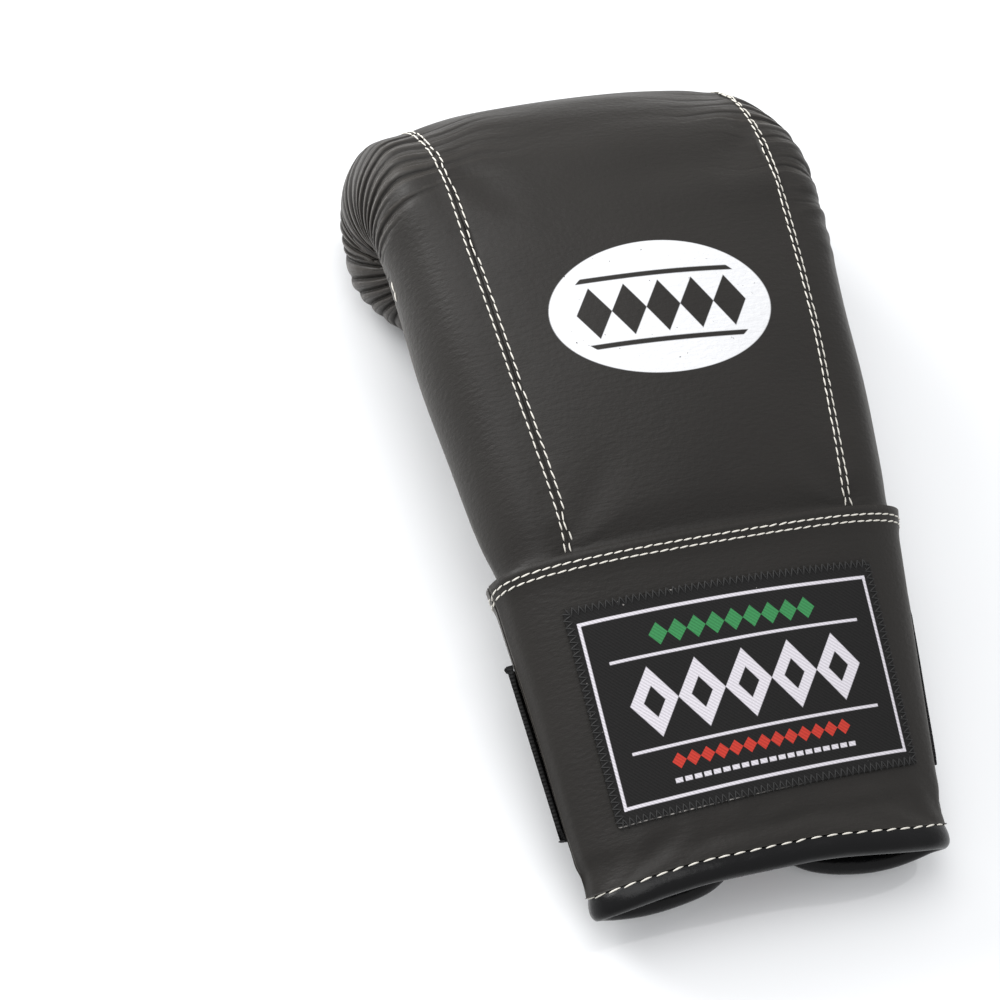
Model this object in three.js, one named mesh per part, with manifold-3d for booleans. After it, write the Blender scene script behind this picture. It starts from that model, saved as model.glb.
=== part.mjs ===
// A padded leather bag mitt for the right hand, lying palm down with its fingers curled under.
// Millimetres. +Y runs from the wrist to the knuckles, +Z comes out of the back of the hand
// and +X points to the little-finger side. While it is drawn, the joint between the cuff and
// the padded body is at y = 0 and the surface that the mitt lies on is at z = 0.
import * as THREE from "three";
import Module from "manifold-3d";

const wasm = await Module();
wasm.setup();

// Clearances
const seamGap = 0.3; // between two pieces sewn edge to edge
const layerGap = 0.5; // between a layer and the curved wall that it lies on

// Padded body
const bodyLength = 169; // joint to the front of the knuckles
const bodyHalfWidth = 79; // widest, at the knuckles
const seamHalfSpacing = 57.5; // double seams of the back panel, at the knuckles
const backHeight = 73; // top of the knuckles above the surface
const backArch = 4; // rise of the back between joint and knuckles
const backCrown = 5.5; // how far the back panel falls from its middle to its seams
const knuckleReach = 47.5; // finger fold's centre to the front of the knuckles
const fingerEndThickness = 31; // curled finger end, under the fold
const fingerEndLength = 21; // fold's centre to the tip of the finger end
const tipRounding = 13; // length over which the finger end rounds off
const tipCornerRounding = 22; // how far the tip's sides draw in
const creaseHalf = 1.2; // half of the gap inside the finger fold
const backPadding = 20;
const fingerEndPadding = 11;
const sidePadding = 9;
const palmThickness = 3;
const tuckLength = 13; // length over which the padding rises out of the cuff joint
const tuckDepth = 7;

// Gathers of the side gussets, round the finger fold
const gatherDepth = 2.4;
const gatherWidth = 5.5; // degrees

// Cuff
const cuffLength = 105; // joint to the rim, along Y
const cuffWall = 4.5;
const jointHeight = 58.5; // top of the cuff at the joint
const jointThickness = 41.5;
const jointHalfWidth = 70.5;
const rimHeight = 24; // top of the cuff at the rim
const palmSetback = 5; // how far the palm's rim ends short of the back's
const rimHalfWidth = 62.5;
const cuffSquareness = 2.8; // exponent of the cuff's oval section

// Rolled binding and the slit that it runs round
const bindingRadius = 3.6;
const flapCornerRadius = 12; // of the binding's centre line
const slitHalfAtRim = 3;
const slitHalfAtJoint = 6.5;
const slitEndRadius = 9;
const slitReach = 20; // joint to the centre of the slit's round end

// Elastic, label, lining
const bandWidth = 56;
const bandThickness = 1.8;
const bandFromJoint = 25;
const labelWidth = 106;
const labelHeight = 67;
const labelThickness = 0.9;
const labelFromJoint = 17;
const liningThickness = 1.2;
const facingWidth = 11; // bare strip between the rim and the lining
const liningReach = 14; // joint to the lining's front edge

// Thumb
const thumbLength = 64;
const thumbHalfWidth = 19.5;
const thumbTaper = 0.24; // share by which the tip is narrower than the base
const thumbDepth = 18;
const thumbWall = 2.5;
const thumbAcross = -0.52; // stall's centre, as a share of bodyHalfWidth
const thumbBaseY = 13; // joint to the back edge of the stall
const thumbMouth = 0.56; // the palm's hole for the thumb, as a share of the stall

const foldY = bodyLength - knuckleReach;
const foldZ = fingerEndThickness + creaseHalf;
const tipStartY = foldY - fingerEndLength + tipRounding;
const palmAtJoint = jointHeight - jointThickness;

// The padded body's sections, in order from the joint to the tip. Along counts runs:
// 0 to 1 is the back of the hand, 1 to 2 the finger fold, 2 to 3 the curled finger end
// and 3 to 4 its rounded tip. Widths are shares of bodyHalfWidth, seams of
// seamHalfSpacing, crowns of backCrown and padding of backPadding or fingerEndPadding.
// Widest is the height of the broadest point, as a share of half the thickness.
const bodyRows = [
  { along: 0.0, width: 0.885, seam: 0.86, crown: 0.75, padding: 0.3, widest: -0.1 },
  { along: 0.15, width: 0.905, seam: 0.88, crown: 0.95, padding: 0.55, widest: -0.2 },
  { along: 0.45, width: 0.935, seam: 0.94, crown: 1.0, padding: 0.95, widest: -0.3 },
  { along: 0.8, width: 0.97, seam: 0.985, crown: 0.85, padding: 1.0, widest: -0.25 },
  { along: 1.0, width: 0.985, seam: 1.0, crown: 0.75, padding: 1.0, widest: -0.15 },
  { along: 1.5, width: 1.0, seam: 1.0, crown: 0.55, padding: 1.0, widest: -0.05 },
  { along: 2.0, width: 0.985, seam: 0.98, crown: 0.0, padding: 1.0, widest: 0.0 },
  { along: 3.0, width: 0.96, seam: 0.94, crown: 0.0, padding: 1.0, widest: 0.0 },
  { along: 4.0, width: 0.96, seam: 0.9, crown: 0.0, padding: 1.0, widest: 0.0 },
];

// One row for each gather: its place round the fold in degrees, 90 on the back of the
// hand and -90 under it, and its depth as a share of gatherDepth.
const gatherRows = [
  { angle: 96, depth: 0.35 },
  { angle: 76, depth: 0.6 },
  { angle: 58, depth: 0.9 },
  { angle: 38, depth: 0.75 },
  { angle: 20, depth: 1.0 },
  { angle: 0, depth: 0.85 },
  { angle: -20, depth: 1.0 },
  { angle: -40, depth: 0.8 },
  { angle: -61, depth: 0.9 },
  { angle: -82, depth: 0.6 },
];

// Clear half width of the slit between the bindings, from the rim to its round end.
// Along is a share of the way from the rim to the joint, and on from there to the end.
const slitRows = [
  { along: 0.0, half: slitHalfAtRim },
  { along: 0.5, half: (slitHalfAtRim + slitHalfAtJoint) / 2 },
  { along: 1.0, half: slitHalfAtJoint },
  { along: 2.0, half: slitEndRadius },
];

const lerp = THREE.MathUtils.lerp;
const radians = THREE.MathUtils.degToRad;

function smooth(t) {
  const c = THREE.MathUtils.clamp(t, 0, 1);
  return c * c * (3 - 2 * c);
}

// A column of a table at a place between its rows, as a smooth curve through the rows.
function column(rows, key, at) {
  const last = rows.length - 1;
  let k = 0;
  while (k < last - 1 && at > rows[k + 1].along) k += 1;
  const slope = (j) => {
    const before = rows[Math.max(j - 1, 0)];
    const after = rows[Math.min(j + 1, last)];
    return (after[key] - before[key]) / (after.along - before.along);
  };
  const span = rows[k + 1].along - rows[k].along;
  const t = (at - rows[k].along) / span;
  const t2 = t * t;
  const t3 = t2 * t;
  return (
    (2 * t3 - 3 * t2 + 1) * rows[k][key] +
    (t3 - 2 * t2 + t) * span * slope(k) +
    (3 * t2 - 2 * t3) * rows[k + 1][key] +
    (t3 - t2) * span * slope(k + 1)
  );
}

// A section's frame: its outer and inner points in the YZ plane, half its thickness and
// the place of any point given by x and by its height above the section's middle.
function sectionFrame(outerY, outerZ, innerY, innerZ) {
  const outer = new THREE.Vector2(outerY, outerZ);
  const inner = new THREE.Vector2(innerY, innerZ);
  const middle = outer.clone().add(inner).multiplyScalar(0.5);
  const up = outer.clone().sub(inner);
  const half = up.length() / 2;
  up.normalize();
  const place = ({ x, n }) => new THREE.Vector3(x, middle.x + n * up.x, middle.y + n * up.y);
  return { half, place };
}

// A closed solid through sections with equally many points, each loop drawn
// counter-clockwise in x and n.
function loft(sections) {
  const count = sections[0].loop.length;
  const positions = [];
  for (const { loop, frame } of sections) {
    for (const point of loop) positions.push(...frame.place(point).toArray());
  }
  const index = [];
  const point = (i) => new THREE.Vector3().fromArray(positions, 3 * i);
  for (let k = 0; k < sections.length - 1; k += 1) {
    for (let j = 0; j < count; j += 1) {
      const a = k * count + j;
      const b = k * count + ((j + 1) % count);
      // The shorter diagonal, so that two faces along one seam are split the same way.
      if (point(a).distanceTo(point(b + count)) < point(b).distanceTo(point(a + count))) {
        index.push(a, a + count, b + count, a, b + count, b);
      } else {
        index.push(a, a + count, b, b, a + count, b + count);
      }
    }
  }
  const cap = (section, base, turned) => {
    const contour = section.loop.map(({ x, n }) => new THREE.Vector2(x, n));
    for (const [a, b, c] of THREE.ShapeUtils.triangulateShape(contour, [])) {
      index.push(base + a, base + (turned ? c : b), base + (turned ? b : c));
    }
  };
  cap(sections[0], 0, false);
  cap(sections.at(-1), (sections.length - 1) * count, true);
  const geometry = new THREE.BufferGeometry();
  geometry.setAttribute("position", new THREE.Float32BufferAttribute(positions, 3));
  geometry.setIndex(index);
  return geometry;
}

function toSolid(geometry) {
  const merged = geometry.index ? geometry : mergeByPlace(geometry);
  return new wasm.Manifold(
    new wasm.Mesh({
      numProp: 3,
      vertProperties: new Float32Array(merged.getAttribute("position").array),
      triVerts: new Uint32Array(merged.index.array),
    }),
  );
}

function mergeByPlace(geometry) {
  const source = geometry.getAttribute("position");
  const found = new Map();
  const positions = [];
  const index = [];
  for (let i = 0; i < source.count; i += 1) {
    const point = [source.getX(i), source.getY(i), source.getZ(i)];
    const key = point.map((v) => v.toFixed(4)).join();
    if (!found.has(key)) {
      found.set(key, positions.length / 3);
      positions.push(...point);
    }
    index.push(found.get(key));
  }
  const merged = new THREE.BufferGeometry();
  merged.setAttribute("position", new THREE.Float32BufferAttribute(positions, 3));
  merged.setIndex(index);
  return merged;
}

function toGeometry(solid) {
  const mesh = solid.getMesh();
  const geometry = new THREE.BufferGeometry();
  geometry.setAttribute("position", new THREE.BufferAttribute(mesh.vertProperties, 3));
  geometry.setIndex(new THREE.BufferAttribute(mesh.triVerts, 1));
  return geometry;
}

// Points of a squared oval between two angles, in degrees, from 0 at +x over 90 at the top.
function oval(halfWidth, halfHeight, squareness, from, to, count) {
  const power = 2 / squareness;
  const points = [];
  for (let k = 0; k < count; k += 1) {
    const angle = radians(lerp(from, to, k / (count - 1)));
    const c = Math.cos(angle);
    const s = Math.sin(angle);
    points.push({
      x: Math.sign(c) * halfWidth * Math.abs(c) ** power,
      n: Math.sign(s) * halfHeight * Math.abs(s) ** power,
    });
  }
  return points;
}

// The angle at which a squared oval reaches a given x on its upper half.
function ovalAngle(halfWidth, squareness, x) {
  const share = THREE.MathUtils.clamp(Math.abs(x) / halfWidth, 0, 1);
  const angle = THREE.MathUtils.radToDeg(Math.acos(share ** (squareness / 2)));
  return x < 0 ? 180 - angle : angle;
}

// The padded body

// Profile of the body in the YZ plane at a place along its runs.
function bodyFrame(along) {
  if (along <= 1) {
    const y = lerp(seamGap / 2, foldY, along);
    const tuck = 1 - smooth((along * foldY) / tuckLength);
    const top = lerp(jointHeight, backHeight, along) + backArch * Math.sin(Math.PI * along);
    const palm = lerp(palmAtJoint, foldZ + creaseHalf, along);
    return sectionFrame(y, top - tuckDepth * 0.35 * tuck, y, palm + tuckDepth * 0.2 * tuck);
  }
  if (along <= 2) {
    const angle = radians(90 - 180 * (along - 1));
    const c = Math.cos(angle);
    const s = Math.sin(angle);
    const rise = s > 0 ? backHeight - foldZ : foldZ;
    return sectionFrame(
      foldY + knuckleReach * c,
      foldZ + rise * s,
      foldY + creaseHalf * c,
      foldZ + creaseHalf * s,
    );
  }
  const half = (foldZ - creaseHalf) / 2;
  if (along <= 3) {
    const y = lerp(foldY, tipStartY, along - 2);
    return sectionFrame(y, 0, y, 2 * half);
  }
  const turn = radians(78 * (along - 3));
  const y = tipStartY - (tipRounding * Math.sin(turn)) / Math.sin(radians(78));
  return sectionFrame(y, half - half * Math.cos(turn), y, half + half * Math.cos(turn));
}

function gatherAt(along) {
  const angle = 90 - 180 * (along - 1);
  let depth = 0;
  for (const row of gatherRows) {
    depth += row.depth * Math.exp(-(((angle - row.angle) / gatherWidth) ** 2));
  }
  return gatherDepth * depth;
}

// Everything about one section of the body: outline points of the outside and the cavity.
function bodySection(along) {
  const frame = bodyFrame(along);
  const h = frame.half;
  const tuck = 1 - smooth((along * foldY) / tuckLength);
  const turn = radians(78 * Math.max(along - 3, 0));
  const drawnIn = tipCornerRounding * (1 - Math.cos(turn)) + tuckDepth * 0.35 * tuck;
  const halfWidth = bodyHalfWidth * column(bodyRows, "width", along) - drawnIn;
  const seam = Math.min(seamHalfSpacing * column(bodyRows, "seam", along), halfWidth - 12);
  const flatten = Math.min(1, h / (fingerEndThickness / 2));
  const crown = backCrown * Math.max(column(bodyRows, "crown", along), 0) * flatten;
  const widest = h * column(bodyRows, "widest", along);
  const palmSeam = halfWidth - 12;
  const fullPadding = lerp(backPadding, fingerEndPadding, smooth(along - 1.4));
  const padding = fullPadding * column(bodyRows, "padding", along);
  const room = 2 * h - crown - seamGap;
  const squeeze = Math.min(1, room / (padding + palmThickness));
  const top = h - padding * squeeze - (squeeze < 1 ? crown : 0);
  const bottom = -h + palmThickness * squeeze;
  const cavity = {
    halfWidth: halfWidth - sidePadding,
    half: Math.max((top - bottom) / 2, seamGap / 2),
    middle: (top + bottom) / 2,
  };
  return { frame, h, halfWidth, seam, crown, widest, palmSeam, cavity, gather: gatherAt(along) };
}

// Points of the cavity's outline between two x on its top, or round a side.
function cavityPoints({ cavity }, from, to, count) {
  return oval(cavity.halfWidth, cavity.half, cuffSquareness, from, to, count).map(({ x, n }) => ({
    x,
    n: n + cavity.middle,
  }));
}

function backLoop(section) {
  const { h, seam, crown, cavity } = section;
  const edge = seam - seamGap / 2;
  const columns = 10;
  const loop = [];
  for (let k = 0; k <= columns; k += 1) {
    const x = lerp(edge, -edge, k / columns);
    loop.push({ x, n: h - crown * (x / seam) ** 2 });
  }
  const inner = cavity.halfWidth * 0.8 - seamGap / 2;
  const angle = ovalAngle(cavity.halfWidth, cuffSquareness, inner);
  return loop.concat(cavityPoints(section, 180 - angle, angle, 7));
}

// The gusset on the +x side, from its seam with the back round to its seam with the palm.
function gussetLoop(section) {
  const { h, halfWidth, seam, crown, widest, palmSeam, cavity, gather } = section;
  const steps = 5;
  const outer = [];
  const start = seam + seamGap / 2;
  for (let k = 0; k <= steps; k += 1) {
    const q = (Math.PI / 2) * (k / steps);
    const pull = gather * smooth(k / steps) * 0.6;
    outer.push({
      x: lerp(start, halfWidth, Math.sin(q)) - pull,
      n: lerp(widest, h - crown, Math.cos(q)),
    });
  }
  for (let k = 1; k <= steps; k += 1) {
    const q = (Math.PI / 2) * (k / steps);
    const pull = gather * lerp(0.6, 1, k / steps) * (k < steps ? 1 : 0);
    outer.push({
      x: lerp(palmSeam + seamGap / 2, halfWidth, Math.cos(q)) - pull,
      n: lerp(widest, -h, Math.sin(q)),
    });
  }
  const topInner = cavity.halfWidth * 0.8 + seamGap / 2;
  const topAngle = ovalAngle(cavity.halfWidth, cuffSquareness, topInner);
  const palmInner = Math.min(palmSeam, cavity.halfWidth - 1) + seamGap / 2;
  const palmAngle = -ovalAngle(cavity.halfWidth, cuffSquareness, palmInner);
  const inner = cavityPoints(section, palmAngle, topAngle, 7);
  return outer.concat(inner).reverse();
}

function palmLoop(section) {
  const { h, palmSeam, cavity } = section;
  const edge = palmSeam - seamGap / 2;
  const columns = 6;
  const loop = [];
  for (let k = 0; k <= columns; k += 1) loop.push({ x: lerp(-edge, edge, k / columns), n: -h });
  const inner = Math.min(palmSeam, cavity.halfWidth - 1) - seamGap / 2;
  const angle = -ovalAngle(cavity.halfWidth, cuffSquareness, inner);
  return loop.concat(cavityPoints(section, angle, -180 - angle, 9));
}

const bodyRuns = [
  { from: 0, to: 0.11, steps: 4 },
  { from: 0.11, to: 1, steps: 9 },
  { from: 1, to: 2, steps: 24 },
  { from: 2, to: 3, steps: 2 },
  { from: 3, to: 4, steps: 6 },
];
const bodySections = [bodySection(0)];
for (const { from, to, steps } of bodyRuns) {
  for (let k = 1; k <= steps; k += 1) bodySections.push(bodySection(lerp(from, to, k / steps)));
}

const mirrored = (loop) => loop.map(({ x, n }) => ({ x: -x, n })).reverse();
const bodyPiece = (loopOf) => {
  return loft(bodySections.map((section) => ({ frame: section.frame, loop: loopOf(section) })));
};

// The cuff

function cuffFrame(y) {
  const along = -y / cuffLength;
  const top = lerp(jointHeight, rimHeight, along);
  const palm = lerp(palmAtJoint, bindingRadius - cuffWall / 2, along);
  return sectionFrame(y, top, y + palmSetback * along, palm);
}

const cuffHalfWidth = (y) => lerp(jointHalfWidth, rimHalfWidth, -y / cuffLength);
const clearHalf = (y) => {
  const along = y < 0 ? 1 + y / cuffLength : 1 + y / slitReach;
  return column(slitRows, "half", along);
};

// The edge of a wall stands off the binding's centre line by this much.
const edgeOffset = bindingRadius + layerGap;
const rimY = -cuffLength + bindingRadius;
const cornerX = slitHalfAtRim + bindingRadius + flapCornerRadius;
const cornerY = rimY + flapCornerRadius;
const wallEndY = rimY + edgeOffset;
const wallCornerRadius = flapCornerRadius - edgeOffset;

// The flap's edge on the slit, round at the rim's corner.
function flapEdge(y) {
  if (y >= cornerY) return clearHalf(y) + bindingRadius + edgeOffset;
  const down = Math.min(cornerY - y, wallCornerRadius);
  return cornerX - Math.sqrt(wallCornerRadius ** 2 - down ** 2);
}

const cuffEndY = -seamGap / 2;
const cuffStations = [];
for (let k = 0; k <= 6; k += 1) {
  cuffStations.push(lerp(cornerY, wallEndY, Math.cos((Math.PI / 2) * (k / 6))));
}
for (let k = 1; k <= 6; k += 1) cuffStations.push(lerp(cornerY, cuffEndY, k / 6));

const cuffLoft = (stations, loopOf) => {
  return loft(stations.map((y) => ({ frame: cuffFrame(y), loop: loopOf(y, cuffFrame(y).half) })));
};

// A layer of the cuff between two depths under its outer surface and two angles.
function cuffLayer(y, half, depth, thickness, from, to, count) {
  const a = cuffHalfWidth(y) - depth;
  const b = half - depth;
  const outside = oval(a, b, cuffSquareness, from, to, count);
  const inside = oval(a - thickness, b - thickness, cuffSquareness, to, from, count);
  return outside.concat(inside);
}

const sideGap = 0.35; // degrees left free each side of the cuff's side seams
const cuffBack = cuffLoft(cuffStations, (y, half) => {
  return cuffLayer(y, half, 0, cuffWall, sideGap, 180 - sideGap, 19);
});

function flapLoop(y, half) {
  const a = cuffHalfWidth(y);
  const edge = flapEdge(y);
  const outerAngle = -ovalAngle(a, cuffSquareness, edge);
  const innerAngle = -ovalAngle(a - cuffWall, cuffSquareness, edge);
  const outside = oval(a, half, cuffSquareness, outerAngle, -sideGap, 10);
  const inside = oval(a - cuffWall, half - cuffWall, cuffSquareness, -sideGap, innerAngle, 10);
  return outside.concat(inside);
}

const bandStations = [-bandFromJoint - bandWidth, -bandFromJoint - bandWidth / 2, -bandFromJoint];
// The elastic lies on the flaps and swells over the bindings of the slit.
const elasticBand = cuffLoft(bandStations, (y, half) => {
  const over = clearHalf(y) + 2 * bindingRadius + bandThickness;
  const swell = bindingRadius - cuffWall / 2;
  const loop = cuffLayer(y, half, -layerGap - bandThickness, bandThickness, 182, 358, 33);
  return loop.map(({ x, n }) => ({ x, n: n - swell * smooth((2 * over - Math.abs(x)) / over) }));
});

const labelStations = [];
for (let k = 0; k <= 4; k += 1) {
  labelStations.push(lerp(-labelFromJoint - labelHeight, -labelFromJoint, k / 4));
}
const wovenLabel = cuffLoft(labelStations, (y, half) => {
  const a = cuffHalfWidth(y);
  const loop = [];
  const surface = (x, lift) => {
    const share = 1 - Math.abs(x / a) ** cuffSquareness;
    return { x, n: half * share ** (1 / cuffSquareness) + lift };
  };
  for (let k = 0; k <= 16; k += 1) {
    loop.push(surface(lerp(labelWidth / 2, -labelWidth / 2, k / 16), layerGap + labelThickness));
  }
  for (let k = 0; k <= 16; k += 1) {
    loop.push(surface(lerp(-labelWidth / 2, labelWidth / 2, k / 16), layerGap));
  }
  return loop;
});

// The lining follows the cuff's inside, then the cavity of the body, and is open at the slit.
function liningSection(y) {
  const inBody = y >= 0;
  const section = inBody ? bodySection(y / foldY) : null;
  const frame = inBody ? section.frame : cuffFrame(y);
  const a = (inBody ? section.cavity.halfWidth : cuffHalfWidth(y) - cuffWall) - layerGap;
  const b = (inBody ? section.cavity.half : frame.half - cuffWall) - layerGap;
  const middle = inBody ? section.cavity.middle : 0;
  const edge = clearHalf(y) + bindingRadius + edgeOffset;
  const angle = ovalAngle(a, cuffSquareness, edge);
  const outside = oval(a, b, cuffSquareness, -angle, 180 + angle, 21);
  const inside = oval(
    a - liningThickness,
    b - liningThickness,
    cuffSquareness,
    180 + angle,
    -angle,
    21,
  );
  return { frame, loop: outside.concat(inside).map(({ x, n }) => ({ x, n: n + middle })) };
}

const liningStations = [rimY + facingWidth, -0.66, -0.33, 0, 0.5, 1].map((at, k) => {
  if (k === 0) return at;
  return at < 0 ? at * cuffLength : lerp(1, liningReach, at);
});
const cuffLining = loft(liningStations.map(liningSection));

// The rolled binding

// Centre line on the palm side: the middle of the wall at a place on the cuff or the palm.
function palmPoint(x, y) {
  if (y < 0) {
    const a = cuffHalfWidth(y) - cuffWall / 2;
    const b = cuffFrame(y).half - cuffWall / 2;
    const n = -b * (1 - Math.abs(x / a) ** cuffSquareness) ** (1 / cuffSquareness);
    return cuffFrame(y).place({ x, n });
  }
  const { frame, h } = bodySection(y / foldY);
  return frame.place({ x, n: -h + palmThickness / 2 });
}

function bindingPath() {
  const half = []; // the little-finger side, from the slit's end to the cuff's side
  const endRadius = slitEndRadius + bindingRadius;
  for (let k = 0; k <= 4; k += 1) {
    const angle = radians(lerp(86, 0, k / 4));
    half.push(palmPoint(endRadius * Math.cos(angle), slitReach + endRadius * Math.sin(angle)));
  }
  for (let k = 1; k <= 3; k += 1) {
    const y = lerp(slitReach, 4, k / 3);
    half.push(palmPoint(clearHalf(y) + bindingRadius, y));
  }
  for (let k = 0; k <= 8; k += 1) {
    const y = lerp(-4, cornerY, k / 8);
    half.push(palmPoint(clearHalf(y) + bindingRadius, y));
  }
  for (let k = 1; k <= 4; k += 1) {
    const angle = radians(lerp(180, 270, k / 4));
    const x = cornerX + flapCornerRadius * Math.cos(angle);
    half.push(palmPoint(x, cornerY + flapCornerRadius * Math.sin(angle)));
  }
  const a = cuffHalfWidth(rimY) - cuffWall / 2;
  const frame = cuffFrame(rimY);
  const b = frame.half - cuffWall / 2;
  const start = -ovalAngle(a, cuffSquareness, cornerX);
  half.push(...oval(a, b, cuffSquareness, start, 0, 7).slice(1).map(frame.place));
  const over = oval(a, b, cuffSquareness, 0, 180, 15).slice(1, -1).map(frame.place);
  const other = half.map((p) => new THREE.Vector3(-p.x, p.y, p.z)).reverse();
  return half.concat(over, other);
}

// A tube with a round section along a smooth line through points, each end closed.
function tube(points, radius, sides, steps) {
  const curve = new THREE.CatmullRomCurve3(points);
  const shape = new THREE.Shape();
  shape.absarc(0, 0, radius, 0, Math.PI * 2);
  return new THREE.ExtrudeGeometry(shape, {
    curveSegments: sides / 2,
    steps,
    extrudePath: curve,
    bevelEnabled: false,
  });
}

const rimBinding = tube(bindingPath(), bindingRadius, 8, 92);

// The palm, cut for the slit and the thumb

function slitCutter() {
  const wide = (y) => clearHalf(y) + bindingRadius + edgeOffset;
  const endRadius = slitEndRadius + bindingRadius + edgeOffset;
  const shape = new THREE.Shape();
  shape.moveTo(-wide(0), -bindingRadius);
  shape.lineTo(wide(0), -bindingRadius);
  for (let k = 0; k <= 3; k += 1) {
    const y = lerp(0, slitReach, k / 4);
    shape.lineTo(wide(y), y);
  }
  for (let k = 0; k <= 10; k += 1) {
    const angle = Math.PI * (k / 10);
    shape.lineTo(endRadius * Math.cos(angle), slitReach + endRadius * Math.sin(angle));
  }
  for (let k = 3; k >= 0; k -= 1) {
    const y = lerp(0, slitReach, k / 4);
    shape.lineTo(-wide(y), y);
  }
  return new THREE.ExtrudeGeometry(shape, { depth: backHeight, bevelEnabled: false });
}

// The thumb stall's outline, an egg with its wide end to the wrist.
function thumbOutline(angle, share) {
  const c = Math.cos(angle);
  const s = Math.sin(angle);
  const width = thumbHalfWidth * (1 - (thumbTaper * (1 + s)) / 2);
  const y = thumbBaseY + (thumbLength / 2) * (1 + s * share);
  return { x: thumbAcross * bodyHalfWidth + width * c * share, y };
}

function thumbMouthCutter() {
  const shape = new THREE.Shape();
  for (let k = 0; k < 20; k += 1) {
    const { x, y } = thumbOutline((2 * Math.PI * k) / 20, thumbMouth);
    if (k === 0) shape.moveTo(x, y);
    else shape.lineTo(x, y);
  }
  return new THREE.ExtrudeGeometry(shape, { depth: backHeight, bevelEnabled: false });
}

const palmUnder = (y) => lerp(palmAtJoint, foldZ + creaseHalf, y / foldY);

// An open pouch: rings of the outside from the palm down, then of the inside back up.
function pouch() {
  const sides = 24;
  const rings = 6;
  const positions = [];
  const index = [];
  const layer = (inset, depth, ring) => {
    const fall = (Math.PI / 2) * (ring / rings);
    const share = Math.cos(fall) ** 0.62 * (1 - inset / thumbHalfWidth);
    for (let k = 0; k < sides; k += 1) {
      const { x, y } = thumbOutline((2 * Math.PI * k) / sides, share);
      positions.push(x, y, palmUnder(y) - seamGap - depth * Math.sin(fall));
    }
  };
  const pole = (depth) => {
    const { x, y } = thumbOutline(0, 0);
    positions.push(x, y, palmUnder(y) - seamGap - depth);
    return positions.length / 3 - 1;
  };
  for (let ring = 0; ring < rings; ring += 1) layer(0, thumbDepth, ring);
  for (let ring = rings - 1; ring >= 0; ring -= 1) layer(thumbWall, thumbDepth - thumbWall, ring);
  const outerPole = pole(thumbDepth);
  const innerPole = pole(thumbDepth - thumbWall);
  const at = (ring, k) => ring * sides + (k % sides);
  const rows = 2 * rings;
  for (let k = 0; k < sides; k += 1) {
    for (let ring = 0; ring < rows; ring += 1) {
      const next = (ring + 1) % rows;
      if (ring === rings - 1) {
        index.push(at(ring, k + 1), at(ring, k), outerPole);
        index.push(at(next, k), at(next, k + 1), innerPole);
      } else {
        index.push(at(ring, k), at(next, k), at(next, k + 1));
        index.push(at(ring, k), at(next, k + 1), at(ring, k + 1));
      }
    }
  }
  const geometry = new THREE.BufferGeometry();
  geometry.setAttribute("position", new THREE.Float32BufferAttribute(positions, 3));
  geometry.setIndex(index);
  return geometry;
}

const palmPanel = toGeometry(
  toSolid(bodyPiece(palmLoop))
    .subtract(toSolid(slitCutter()))
    .subtract(toSolid(thumbMouthCutter())),
);

// The finished mitt

const mitt = new THREE.Group();

function addPiece(name, geometry, colour, roughness) {
  const material = new THREE.MeshStandardMaterial({ color: colour, roughness, metalness: 0 });
  const mesh = new THREE.Mesh(geometry, material);
  mesh.name = name;
  mitt.add(mesh);
}

const leather = 0x33312f;
addPiece("back_panel", bodyPiece(backLoop), leather, 0.55);
addPiece("side_gusset_little", bodyPiece(gussetLoop), leather, 0.55);
addPiece("side_gusset_thumb", bodyPiece((s) => mirrored(gussetLoop(s))), leather, 0.55);
addPiece("palm_panel", palmPanel, leather, 0.6);
addPiece("thumb_stall", pouch(), leather, 0.55);
addPiece("cuff_back", cuffBack, leather, 0.55);
addPiece("cuff_flap_little", cuffLoft(cuffStations, flapLoop), leather, 0.55);
addPiece("cuff_flap_thumb", cuffLoft(cuffStations, (y, h) => mirrored(flapLoop(y, h))), leather, 0.55);
addPiece("rim_binding", rimBinding, 0x1c1d20, 0.35);
addPiece("elastic_band", elasticBand, 0x0c0c0c, 0.9);
addPiece("cuff_lining", cuffLining, 0xb0121f, 0.85);
addPiece("woven_label", wovenLabel, 0x101010, 0.8);

// Centred over the middle of its length, on the surface that it lies on.
mitt.position.y = (cuffLength - bodyLength) / 2;

export default mitt;
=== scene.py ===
# %% [markdown]
# # A leather bag mitt
#
# The subject is a right-hand mitt made for hitting a heavy bag. It lies palm down on a
# pale table with its fingers curled under. The CAD model gives each piece its place and
# main form. This script sets up the camera, the light and the table, and gives every
# piece its leather, padding, folds, thread and finish.

import math

import bmesh
import bpy
import numpy as np
from mathutils import Matrix, Vector
from mathutils.bvhtree import BVHTree
from mathutils.kdtree import KDTree


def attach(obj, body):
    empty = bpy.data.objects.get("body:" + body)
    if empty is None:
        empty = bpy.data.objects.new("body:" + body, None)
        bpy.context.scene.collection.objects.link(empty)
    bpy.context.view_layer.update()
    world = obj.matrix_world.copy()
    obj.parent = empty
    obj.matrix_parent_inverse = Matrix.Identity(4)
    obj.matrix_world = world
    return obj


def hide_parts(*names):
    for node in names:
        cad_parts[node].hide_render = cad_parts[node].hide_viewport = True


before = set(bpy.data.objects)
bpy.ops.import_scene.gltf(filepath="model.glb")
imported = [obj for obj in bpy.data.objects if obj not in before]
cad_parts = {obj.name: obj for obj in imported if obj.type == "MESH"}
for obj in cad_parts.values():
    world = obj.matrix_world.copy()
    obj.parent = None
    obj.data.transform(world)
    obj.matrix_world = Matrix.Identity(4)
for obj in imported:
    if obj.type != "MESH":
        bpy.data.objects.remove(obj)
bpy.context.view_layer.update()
MM = 0.001
print("CAD nodes:", ", ".join(sorted(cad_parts)))

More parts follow.
